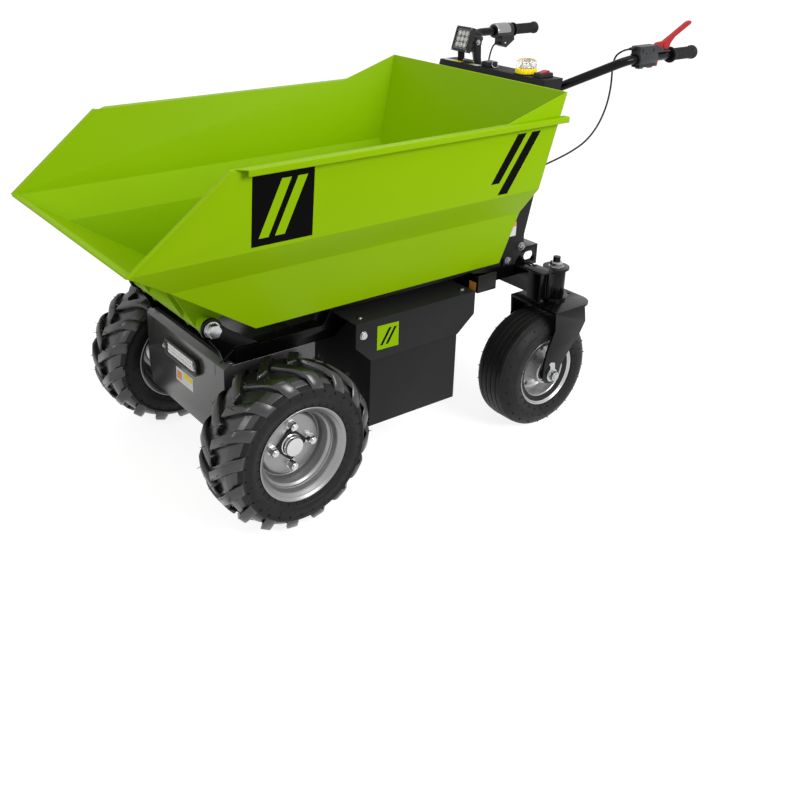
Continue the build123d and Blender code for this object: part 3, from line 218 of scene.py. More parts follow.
def whole(half: Pairs) -> list[Pair]:
    """A profile of (along, radius) for both sides of a wheel from the outer one."""
    return list(half) + [(-along, radius) for along, radius in reversed(half)]


def eased(profile: Pairs, reach: float, closed: bool = True) -> list[Pair]:
    """Rounds the corners of a profile.

    Args:
        profile: the corners in order.
        reach: how far from a corner its rounding starts.
        closed: whether the last corner joins the first.

    Returns:
        The profile with three points in place of each corner.
    """
    points = [Vector(p) for p in profile]
    made: list[Vector] = []
    for i, corner in enumerate(points):
        if not closed and i in (0, len(points) - 1):
            made.append(corner)
            continue
        before, after = points[i - 1], points[(i + 1) % len(points)]
        start, end = (
            corner + (other - corner).normalized() * min(reach, (other - corner).length / 3)
            for other in (before, after))
        made += [start, (start + 2 * corner + end) / 4, end]
    return [(p.x, p.y) for p in made]


class Colour(Enum):
    """Base colours, linear RGB."""

    GREEN = (0.298, 0.520, 0.0005)
    FRAME_BLACK = (0.0022, 0.0022, 0.0023)
    NOSE_GREY = (0.053, 0.0526, 0.0518)
    COAT_GREY = (0.018, 0.018, 0.0183)
    ZINC = (0.45, 0.455, 0.46)
    CHROME = (0.56, 0.56, 0.57)
    MIRROR = (0.36, 0.36, 0.35)
    SILVER = (0.31, 0.31, 0.314)
    TYRE = (0.011, 0.011, 0.0112)
    # a silver lighter than the rims': painted light on the castor rims, standing in for light that the fork and tyre
    # keep off them
    BRIGHT = (0.50, 0.50, 0.505)
    TREAD = (0.005, 0.005, 0.0051)
    RUBBER = (0.010, 0.010, 0.0105)
    PLASTIC = (0.012, 0.012, 0.0125)
    CLAMP_GREY = (0.034, 0.035, 0.039)
    RED = (0.45, 0.020, 0.022)
    YELLOW = (0.95, 0.74, 0.005)
    WHITE = (0.80, 0.80, 0.82)
    ORANGE = (0.80, 0.30, 0.05)
    LABEL_BLACK = (0.0015, 0.0015, 0.0015)
    LED = (0.80, 0.77, 0.60)
    DUST = (0.16, 0.155, 0.15)
    FLOOR = (0.42, 0.42, 0.42)

    @property
    def rgba(self) -> tuple[float, float, float, float]:
        """The colour with a full alpha."""
        return (*self.value, 1.0)


def fill(node: bpy.types.Node, inputs: dict[str | int, object]) -> bpy.types.Node:
    """Sets a node's inputs.

    Args:
        node: the node.
        inputs: for each input a socket to join to it or a value.

    Returns:
        The node.
    """
    for key, value in inputs.items():
        if isinstance(value, bpy.types.NodeSocket):
            node.id_data.links.new(value, node.inputs[key])
        else:
            node.inputs[key].default_value = value
    return node


def add(tree: bpy.types.NodeTree, kind: str, inputs: dict[str | int, object] | None = None,
        **values: object) -> bpy.types.Node:
    """Adds a node to a tree.

    Args:
        tree: the tree.
        kind: the node's type.
        inputs: for each input a socket to join to it or a value.
        **values: the node's own properties, set first.

    Returns:
        The node.
    """
    made = tree.nodes.new(kind)
    for key, value in values.items():
        setattr(made, key, value)
    return fill(made, inputs or {})


def eye_rays(tree: bpy.types.NodeTree) -> bpy.types.NodeSocket:
    """Tells what is seen from what is only lit.

    Args:
        tree: the tree that the nodes go into.

    Returns:
        1 for what is seen straight, in a reflection or through glass, else 0.
    """
    paths = add(tree, "ShaderNodeLightPath").outputs
    seen = paths["Is Camera Ray"]
    for kind in ("Is Glossy Ray", "Is Transmission Ray"):
        seen = add(tree, "ShaderNodeMath", {0: seen, 1: paths[kind]},
                   operation="MAXIMUM").outputs[0]
    return seen


class Shader:
    """A material's node tree under construction round one Principled BSDF."""

    def __init__(self, name: str, inputs: dict[str, object]) -> None:
        """Starts the tree.

        Args:
            name: the material's name.
            inputs: values for the surface's own sockets.
        """
        self.material = bpy.data.materials.new(name)
        self.material.use_nodes = True
        self.tree = self.material.node_tree
        self.tree.nodes.clear()
        self.surface = self.node("ShaderNodeBsdfPrincipled", inputs)
        self.output = self.node("ShaderNodeOutputMaterial",
                                {"Surface": self.surface.outputs["BSDF"]})
        self._place: bpy.types.NodeSocket | None = None

    def node(self, kind: str, inputs: dict[str | int, object] | None = None) -> bpy.types.Node:
        """Adds a node with its inputs."""
        return add(self.tree, kind, inputs)

    def noise(self, scale: float, detail: float = 3.0) -> bpy.types.NodeSocket:
        """Noise from 0 to 1 on object coordinates.

        Args:
            scale: waves a metre.
            detail: octaves.

        Returns:
            The noise's factor socket.
        """
        if self._place is None:
            self._place = self.node("ShaderNodeTexCoord").outputs["Object"]
        return self.node("ShaderNodeTexNoise", {
            "Scale": scale, "Detail": detail, "Vector": self._place}).outputs[0]

    def spread(self, source: bpy.types.NodeSocket, low: float, high: float,
               start: float = 0.3, end: float = 0.7) -> bpy.types.NodeSocket:
        """Maps one range of a socket's values on to another.

        Args:
            source: the socket.
            low: what start becomes.
            high: what end becomes.
            start: the lower end of the socket's range.
            end: its upper end.

        Returns:
            The mapped socket.
        """
        return self.node("ShaderNodeMapRange", {
            "Value": source, "From Min": start, "From Max": end, "To Min": low,
            "To Max": high}).outputs["Result"]


@dataclass(frozen=True)
class Finish:
    """A surface finish: a base colour with small changes of tone, gloss and height.

    dust is how far the base colour turns towards a pale grey in patches.
    """

    name: str
    colour: Colour
    metallic: float = 0.0
    roughness: float = 0.5
    roughness_spread: float = 0.05
    tone_spread: float = 0.0
    wave: float = 9.0
    grain: float = 0.0
    grain_scale: float = 900.0
    grain_depth: float = 0.0004
    # light given off in the base colour; the beacon's yellow foot uses it as painted light, since the foot is no lamp
    glow: float = 0.0
    specular: float = 0.5
    dust: float = 0.0
    dust_waves: float = 3.1

    def build(self) -> bpy.types.Material:
        """Makes the material.

        Returns:
            The finished material.
        """
        shader = Shader(self.name, {
            "Base Color": self.colour.rgba, "Metallic": self.metallic,
            "Specular IOR Level": self.specular, "Emission Color": self.colour.rgba,
            "Emission Strength": self.glow})
        wave, spread = shader.noise(self.wave), self.roughness_spread
        fill(shader.surface, {"Roughness": shader.spread(
            wave, self.roughness - spread, self.roughness + spread)})
        if self.tone_spread or self.dust:
            colour = shader.node("ShaderNodeHueSaturation", {
                "Color": self.colour.rgba,
                "Value": shader.spread(wave, 1 - self.tone_spread, 1 + self.tone_spread),
            }).outputs["Color"]
            if self.dust:
                patches = shader.noise(self.dust_waves * self.wave, 6.0)
                colour = shader.node("ShaderNodeMixRGB", {
                    "Color1": colour, "Color2": Colour.DUST.rgba,
                    "Fac": shader.spread(patches, 0.0, self.dust, 0.5, 0.75),
                }).outputs["Color"]
            fill(shader.surface, {"Base Color": colour})
        if self.grain:
            bump = shader.node("ShaderNodeBump", {
                "Strength": self.grain, "Distance": self.grain_depth,
                "Height": shader.noise(self.grain_scale, 2.0)})
            fill(shader.surface, {"Normal": bump.outputs["Normal"]})
        return shader.material


@dataclass(frozen=True)
class Lens:
    """Clear plastic of the lamps and of the beacon's dome."""

    name: str
    tint: tuple[float, float, float, float] = (1.0, 1.0, 1.0, 1.0)
    roughness: float = 0.03
    bending: float = 1.46

    def build(self) -> bpy.types.Material:
        """Makes the material: transmitting, with its shadow let through.

        Returns:
            The finished material.
        """
        shader = Shader(self.name, {"Base Color": self.tint, "Roughness": self.roughness,
                                    "IOR": self.bending, "Transmission Weight": 1.0})
        mix = shader.node("ShaderNodeMixShader", {
            "Fac": shader.node("ShaderNodeLightPath").outputs["Is Shadow Ray"],
            1: shader.surface.outputs["BSDF"],
            2: shader.node("ShaderNodeBsdfTransparent").outputs["BSDF"]})
        fill(shader.output, {"Surface": mix.outputs["Shader"]})
        return shader.material


FINISHES: dict[str, Finish | Lens] = {
    "skip_green": Finish("skip green", Colour.GREEN, roughness=0.36, roughness_spread=0.03,
                         tone_spread=0.015, wave=4.0, grain=0.04, grain_scale=700.0,
                         specular=0.06),
    "black_paint": Finish("black paint", Colour.FRAME_BLACK, roughness=0.22,
                          roughness_spread=0.06, grain=0.05, specular=0.16),
    "nose_paint": Finish("nose paint", Colour.NOSE_GREY, roughness=0.24, roughness_spread=0.03,
                         wave=5.0, grain=0.04, specular=0.75),
    "grey_coat": Finish("textured coat", Colour.COAT_GREY, grain=0.35, grain_scale=1400.0,
                        specular=0.11),
    "zinc": Finish("zinc", Colour.ZINC, metallic=1.0, roughness=0.26, roughness_spread=0.08,
                   wave=60.0),
    "chrome": Finish("chrome", Colour.CHROME, metallic=1.0, roughness=0.12,
                     roughness_spread=0.04, wave=40.0),
    "mirror": Finish("mirror", Colour.MIRROR, metallic=1.0, roughness=0.14),
    "rim_silver": Finish("rim silver", Colour.SILVER, metallic=0.7, roughness=0.34,
                         roughness_spread=0.06, wave=12.0, grain=0.03, grain_scale=1500.0),
    # a lighter copy of the rim silver: painted light that makes up for the shade of the fork and tyre on the castor
    # rims
    "castor_silver": Finish("castor silver", Colour.BRIGHT, metallic=0.7, roughness=0.32,
                            roughness_spread=0.06, wave=12.0),
    "tyre_rubber": Finish("tyre rubber", Colour.TYRE, roughness_spread=0.08, tone_spread=0.15,
                          wave=14.0, grain=0.12, grain_scale=500.0, specular=0.2, dust=0.04),
    "tread_rubber": Finish("tread rubber", Colour.TREAD, roughness=0.3, roughness_spread=0.04,
                           tone_spread=0.15, wave=30.0, grain=0.1, grain_scale=260.0,
                           specular=0.8, dust=0.03),
    "black_rubber": Finish("black rubber", Colour.RUBBER, specular=0.25),
    "black_plastic": Finish("black plastic", Colour.PLASTIC, roughness=0.36, grain=0.1,
                            specular=0.3),
    "clamp_plastic": Finish("clamp plastic", Colour.CLAMP_GREY, roughness=0.45, grain=0.1,
                            specular=0.3),
    "red_plastic": Finish("red plastic", Colour.RED, roughness=0.38, grain=0.05, specular=0.2),
    "lamp_black": Finish("lamp black", Colour.PLASTIC, roughness=0.4, grain=0.25, specular=0.3),
    "lens": Lens("lens"),
    # the glow is painted light that makes the yellow foot brighter than the lamps light it
    "beacon_yellow": Finish("beacon yellow", Colour.YELLOW, roughness=0.3, glow=0.22),
    "led": Finish("led", Colour.LED, roughness=0.35),
    "label_black": Finish("label black", Colour.LABEL_BLACK, roughness=0.45,
                          roughness_spread=0.02, specular=0.03),
    "label_green": Finish("label green", Colour.GREEN, roughness=0.4, roughness_spread=0.02,
                          specular=0.06),
    **{f"label_{name}": Finish(f"label {name}", colour, roughness_spread=0.02)
       for name, colour in (("white", Colour.WHITE), ("yellow", Colour.YELLOW),
                            ("orange", Colour.ORANGE))},
}


def linked(name: str, data: bpy.types.ID) -> bpy.types.Object:
    """A new object of the scene.

    Args:
        name: its name.
        data: its mesh, curve, camera or light.

    Returns:
        The object.
    """
    made = bpy.data.objects.new(name, data)
    bpy.context.scene.collection.objects.link(made)
    return made


@contextmanager
def reworked(source: bpy.types.Mesh, made: bpy.types.Mesh) -> Iterator[bmesh.types.BMesh]:
    """Opens a mesh to be worked on.

    Args:
        source: the mesh.
        made: the mesh that takes the result, which may be the same one.

    Yields:
        Its corners, edges and faces.
    """
    work = bmesh.new()
    work.from_mesh(source)
    yield work
    work.to_mesh(made)
    work.free()


def modified(mesh: bpy.types.Mesh, kind: str, inputs: dict[str, object] | None = None,
             **settings: object) -> bpy.types.Mesh:
    """Runs one modifier on a mesh.

    Args:
        mesh: the mesh, used up.
        kind: the modifier's type.
        inputs: for a node tree's sockets, by identifier, their values.
        **settings: the modifier's own settings.

    Returns:
        The plain mesh that comes out.
    """
    work = linked("work", mesh)
    modifier = work.modifiers.new("step", kind)
    for key, value in settings.items():
        setattr(modifier, key, value)
    for key, value in (inputs or {}).items():
        modifier[key] = value
    work.update_tag()
    made = bpy.data.meshes.new_from_object(
        work.evaluated_get(bpy.context.evaluated_depsgraph_get()))
    bpy.data.objects.remove(work)
    return made


def smoothed(mesh: bpy.types.Mesh, angle: float = 35.0) -> bpy.types.Mesh:
    """Shades a mesh smooth but for its sharp edges.

    Args:
        mesh: the mesh, changed in place.
        angle: the least turn at an edge, in degrees, that stays sharp.

    Returns:
        The mesh.
    """
    mesh.shade_smooth()
    mesh.set_sharp_from_angle(angle=math.radians(angle))
    return mesh


def bevelled(mesh: bpy.types.Mesh, width: float, segments: int = 2,
             angle: float = 32.0) -> bpy.types.Mesh:
    """Rounds the edges of a mesh.

    Args:
        mesh: the mesh, used up.
        width: the rounding's width in millimetres.
        segments: faces across it.
        angle: the least turn at an edge, in degrees, that is rounded.

    Returns:
        The rounded mesh, shaded smooth.
    """
    mesh.shade_smooth()
    return modified(mesh, "BEVEL", width=width / 1000.0, segments=segments,
                    limit_method="ANGLE", angle_limit=math.radians(angle),
                    use_clamp_overlap=True, harden_normals=True)


def pierced(mesh: bpy.types.Mesh, cutter: bpy.types.Mesh) -> bpy.types.Mesh:
    """Cuts one mesh out of another.

    Args:
        mesh: the mesh, used up.
        cutter: what is cut out of it, used up.

    Returns:
        The mesh that is left.
    """
    tool = linked("tool", cutter)
    made = modified(mesh, "BOOLEAN", operation="DIFFERENCE", solver="EXACT", object=tool)
    bpy.data.objects.remove(tool)
    return made


class Tree:
    """A geometry node tree under construction, with named inputs for its sizes."""

    def __init__(self, name: str, inputs: dict[str, tuple[str, object]]) -> None:
        """Starts the tree.

        Args:
            name: the tree's name.
            inputs: for each label its kind of socket and its value to begin with.
        """
        self.group = bpy.data.node_groups.new(name, "GeometryNodeTree")
        face = self.group.interface
        face.new_socket("Geometry", in_out="INPUT", socket_type="NodeSocketGeometry")
        for label, (kind, value) in {**inputs, "Material": ("Material", None)}.items():
            socket = face.new_socket(label, in_out="INPUT", socket_type="NodeSocket" + kind)
            if value is not None:
                socket.default_value = value
        face.new_socket("Geometry", in_out="OUTPUT", socket_type="NodeSocketGeometry")
        self.given = self.node("NodeGroupInput").outputs
        self._out = self.node("NodeGroupOutput")

    def node(self, kind: str, inputs: dict[str | int, object] | None = None,
             **values: object) -> bpy.types.Node:
        """Adds a node with its inputs and its own properties."""
        return add(self.group, kind, inputs, **values)

    def math(self, operation: str, first: object, second: object) -> bpy.types.NodeSocket:
        """One sum, and its result."""
        return self.node("ShaderNodeMath", {0: first, 1: second}, operation=operation).outputs[0]

    def moved(self, geometry: object, place: object, turn: object = None) -> bpy.types.NodeSocket:
        """Geometry turned and then moved.

        Args:
            geometry: the geometry.
            place: how far it is moved.
            turn: its rotation, if any.

        Returns:
            The moved geometry.
        """
        inputs = {"Geometry": geometry, "Translation": place}
        if turn is not None:
            inputs["Rotation"] = turn
        return self.node("GeometryNodeTransform", inputs).outputs[0]

    def placed(self, points: object, shape: object,
               **inputs: object) -> bpy.types.NodeSocket:
        """A shape on every point."""
        return self.node("GeometryNodeInstanceOnPoints", {
            "Points": points, "Instance": shape, **inputs}).outputs[0]

    def close(self, geometry: bpy.types.NodeSocket, centre: bool = False) -> "Tree":
        """Makes the instances real, gives them the material and ends the tree.

        Args:
            geometry: what the tree has made.
            centre: whether it is moved by the input of that name.

        Returns:
            The tree.
        """
        real = self.node("GeometryNodeRealizeInstances", {"Geometry": geometry}).outputs[0]
        if centre:
            real = self.moved(real, self.given["Centre"])
        painted = self.node("GeometryNodeSetMaterial",
                            {"Geometry": real, "Material": self.given["Material"]})
        fill(self._out, {0: painted.outputs[0]})
        return self

    def run(self, mesh: bpy.types.Mesh, **values: object) -> bpy.types.Mesh:
        """Runs the tree on a mesh.

        Args:
            mesh: what goes into the tree, used up by it.
            **values: the inputs, their labels written with underscores.

        Returns:
            The plain mesh that comes out.
        """
        named = {item.name.replace(" ", "_").lower(): item.identifier
                 for item in self.group.interface.items_tree if item.in_out == "INPUT"}
        return modified(mesh, "NODES", {named[key]: value for key, value in values.items()},
                        node_group=self.group)


def heads_tree() -> Tree:
    """Bolt heads on washers at points that carry a "facing": washer, head, crown and stud.

    Returns:
        The tree.
    """
    tree = Tree("fastener heads", {
        "Sides": ("Int", 6), "Head Radius": ("Float", 0.008), "Head Height": ("Float", 0.005),
        "Washer Radius": ("Float", 0.01), "Washer Height": ("Float", 0.0015),
        "Stud Radius": ("Float", 0.004), "Stud Height": ("Float", 0.002),
        "Crown Share": ("Float", 0.22), "Crown Width": ("Float", 0.86),
    })
    given = tree.given
    crown = tree.math("MULTIPLY", given["Head Height"], given["Crown Share"])
    body = tree.math("SUBTRACT", given["Head Height"], crown)
    narrow = tree.math("MULTIPLY", given["Head Radius"], given["Crown Width"])
    layers = (  # sides, lower radius, upper radius, height
        (24, given["Washer Radius"], given["Washer Radius"], given["Washer Height"]),
        (given["Sides"], given["Head Radius"], given["Head Radius"], body),
        (given["Sides"], given["Head Radius"], narrow, crown),
        (16, given["Stud Radius"], given["Stud Radius"], given["Stud Height"]),
    )
    join = tree.node("GeometryNodeJoinGeometry")
    height: object = 0.0
    for sides, low, top, deep in layers:
        cone = tree.node("GeometryNodeMeshCone", {
            "Vertices": sides, "Radius Top": top, "Radius Bottom": low, "Depth": deep})
        rise = tree.node("ShaderNodeCombineXYZ", {"Z": height}).outputs[0]
        fill(join, {0: tree.moved(cone.outputs["Mesh"], rise)})
        height = tree.math("ADD", height, deep)
    facing = tree.node("GeometryNodeInputNamedAttribute", {"Name": "facing"},
                       data_type="FLOAT_VECTOR").outputs[0]
    turn = tree.node("FunctionNodeAlignRotationToVector", {"Vector": facing}, axis="Z")
    return tree.close(tree.placed(given["Geometry"], join.outputs[0],
                                  Rotation=turn.outputs[0]))


def ring_tree() -> Tree:
    """A shape repeated round an axis: lugs, ribs of a grip, slots of a rim.

    Returns:
        The tree.
    """
    tree = Tree("ring of parts", {
        "Count": ("Int", 12), "Phase": ("Float", 0.0), "Axis": ("Vector", (0, 1, 0)),
        "Centre": ("Vector", (0, 0, 0)),
    })
    given = tree.given
    points = tree.node("GeometryNodeMeshLine", {
        "Count": given["Count"], "Start Location": (0, 0, 0), "Offset": (0, 0, 0)})
    step = tree.math("DIVIDE", 2 * math.pi, given["Count"])
    index = tree.node("GeometryNodeInputIndex").outputs[0]
    angle = tree.math("ADD", tree.math("MULTIPLY", index, step), given["Phase"])
    turn = tree.node("FunctionNodeAxisAngleToRotation", {"Axis": given["Axis"], "Angle": angle})
    return tree.close(tree.placed(points.outputs[0], given["Geometry"],
                                  Rotation=turn.outputs[0]), centre=True)


def grid_tree() -> Tree:
    """A shape repeated in rows and columns on a tilted face, as the cups of a lamp.

    Returns:
        The tree.
    """
    tree = Tree("grid of parts", {
        "Columns": ("Int", 3), "Rows": ("Int", 3), "Width": ("Float", 0.03),
        "Height": ("Float", 0.03), "Tilt": ("Rotation", (0, 0, 0)),
        "Centre": ("Vector", (0, 0, 0)),
    })
    given = tree.given
    points = tree.node("GeometryNodeMeshGrid", {
        "Size X": given["Width"], "Size Y": given["Height"], "Vertices X": given["Columns"],
        "Vertices Y": given["Rows"]})
    parts = tree.placed(points.outputs[0], given["Geometry"])
    real = tree.node("GeometryNodeRealizeInstances", {"Geometry": parts})
    return tree.close(tree.moved(real.outputs[0], (0, 0, 0), given["Tilt"]), centre=True)


def nubs_tree() -> Tree:
    """Thin moulding nubs standing on a rubber surface, none of them near the floor.

    Returns:
        The tree.
    """
    tree = Tree("moulding nubs", {
        "Density": ("Float", 500.0), "Seed": ("Int", 4), "Length": ("Float", 0.005),
        "Thickness": ("Float", 0.0006), "Lowest": ("Float", 0.05),
    })
    given = tree.given
    height = tree.node("ShaderNodeSeparateXYZ",
                       {0: tree.node("GeometryNodeInputPosition").outputs[0]}).outputs["Z"]
    above = tree.node("FunctionNodeCompare", {0: height, 1: given["Lowest"]},
                      data_type="FLOAT", operation="GREATER_THAN")
    points = tree.node("GeometryNodeDistributePointsOnFaces", {
        "Mesh": given["Geometry"], "Density": given["Density"], "Seed": given["Seed"],
        "Selection": above.outputs[0]})
    nub = tree.node("GeometryNodeMeshCone", {
        "Vertices": 5, "Radius Top": tree.math("MULTIPLY", given["Thickness"], 0.5),
        "Radius Bottom": given["Thickness"], "Depth": given["Length"]})
    return tree.close(tree.placed(points.outputs[0], nub.outputs["Mesh"],
                                  Rotation=points.outputs["Rotation"]))


def bead_tree() -> Tree:
    """A weld bead along an edge: overlapping flattened drops.

    Returns:
        The tree.
    """
    tree = Tree("weld bead", {
        "Radius": ("Float", 0.003), "Pitch": ("Float", 0.0022), "Seed": ("Int", 7),
        "Smallest": ("Float", 0.85), "Largest": ("Float", 1.1),
    })
    given = tree.given
    curve = tree.node("GeometryNodeMeshToCurve", {"Mesh": given["Geometry"]})
    points = tree.node("GeometryNodeResampleCurve", {
        "Curve": curve.outputs[0], "Length": given["Pitch"]}, mode="LENGTH")
    drop = tree.node("GeometryNodeMeshIcoSphere", {"Radius": given["Radius"],
                                                   "Subdivisions": 2})
    size = tree.node("FunctionNodeRandomValue", {
        2: given["Smallest"], 3: given["Largest"], "Seed": given["Seed"]}, data_type="FLOAT")
    return tree.close(tree.placed(points.outputs[0], drop.outputs["Mesh"],
                                  Scale=size.outputs[1]))


@dataclass(frozen=True)
class Face:
    """A flat face to draw on, in millimetres: its origin and its directions."""

    origin: Vector
    across: Vector
    up: Vector
    out: Vector

    def at(self, across: float, up: float, out: float = 0.0) -> Vector:
        """Point of the face, or so far out from it."""
        return self.origin + self.across * across + self.up * up + self.out * out


class Solid:
    """A mesh under construction, in millimetres ahead of the front axle."""

    merged = 1e-4  # corners nearer than this become one
    point = 1e-6  # a ring with a smaller radius is one corner

    def __init__(self) -> None:
        """Starts with no faces."""
        self.bm = bmesh.new()

    def corners(self, places: Sequence[Vector]) -> list[bmesh.types.BMVert]:
        """New corners at the places."""
        return [self.bm.verts.new(place) for place in places]

    def walls(self, near: Sequence, far: Sequence) -> None:
        """Faces between two closed rows of corners.

        Args:
            near: one row.
            far: the other, corner for corner.
        """
        for i, corner in enumerate(near):
            after = (i + 1) % len(near)
            self.bm.faces.new((corner, near[after], far[after], far[i]))

    def block(self, face: Face, outline: Pairs, low: float, high: float,
              shrink: float = 1.0) -> "Solid":
        """A straight or tapered block with an outline drawn on a face.

        Args:
            face: the face.
            outline: the corners on it.
            low: how far out from the face the block starts.
            high: how far out it ends.
            shrink: the end's size as a share of the start's, about the face's origin.

        Returns:
            The solid.
        """
        near = self.corners([face.at(a, b, low) for a, b in outline])
        far = self.corners([face.at(a * shrink, b * shrink, high) for a, b in outline])
        self.bm.faces.new(near)
        self.bm.faces.new(far[::-1])
        self.walls(near, far)
        return self

    def loft(self, sections: Sequence[Sequence[Vector]]) -> "Solid":
        """Walls from each section to the next, closed at both ends.

        Args:
            sections: the corners of each section, the same number in each.

        Returns:
            The solid.
        """
        rings = [self.corners(section) for section in sections]
        for near, far in zip(rings, rings[1:]):
            self.walls(near, far)
        self.bm.faces.new(rings[0])
        self.bm.faces.new(rings[-1][::-1])
        return self

    def lathe(self, profile: Pairs, centre: Vector, axis: Vector, steps: int = 96,
              closed: bool = True, start: float = 0.0, sweep: float = 360.0,
              across: Vector | None = None) -> "Solid":
        """A turned form.

        Args:
            profile: its corners as (along the axis, radius).
            centre: the point of the axis that "along" is measured from.
            axis: the direction of the axis.
            steps: faces round it.
            closed: whether the profile's last corner joins its first.
            start: where a part turn begins, in degrees from across.
            sweep: how far it goes.
            across: the direction at 0 degrees.

        Returns:
            The solid.
        """
        across = across or axis.orthogonal().normalized()
        beside = axis.cross(across)
        full = sweep >= 360.0
        turns = steps if full else steps + 1
        rings = []
        for along, radius in profile:
            hub = centre + axis * along
            if radius < self.point:
                rings.append(self.corners([hub]) * turns)
                continue
            angles = (math.radians(start + sweep * i / steps) for i in range(turns))
            rings.append(self.corners([
                hub + (across * math.cos(a) + beside * math.sin(a)) * radius for a in angles]))
        pairs = list(zip(rings, rings[1:])) + ([(rings[-1], rings[0])] if closed else [])
        for near, far in pairs:
            for i in range(turns if full else turns - 1):
                j = (i + 1) % turns
                corners = list(dict.fromkeys((near[i], near[j], far[j], far[i])))
                if len(corners) > 2:
                    self.bm.faces.new(corners)
        if not full:
            for i in (0, turns - 1):
                self.bm.faces.new([ring[i] for ring in rings])
        return self

    def mesh(self, name: str, local: bool = False) -> bpy.types.Mesh:
        """Ends the solid.

        Args:
            name: the mesh's name.
            local: whether its place is left for a ring or grid of parts to give.

        Returns:
            The mesh in metres.
        """
        bmesh.ops.remove_doubles(self.bm, verts=self.bm.verts, dist=self.merged)
        bmesh.ops.recalc_face_normals(self.bm, faces=self.bm.faces)
        place = Matrix.Translation((0, 0, 0) if local else at(0, 0, 0))
        self.bm.transform(place @ Matrix.Scale(0.001, 4))
        made = bpy.data.meshes.new(name)
        self.bm.to_mesh(made)
        self.bm.free()
        return made


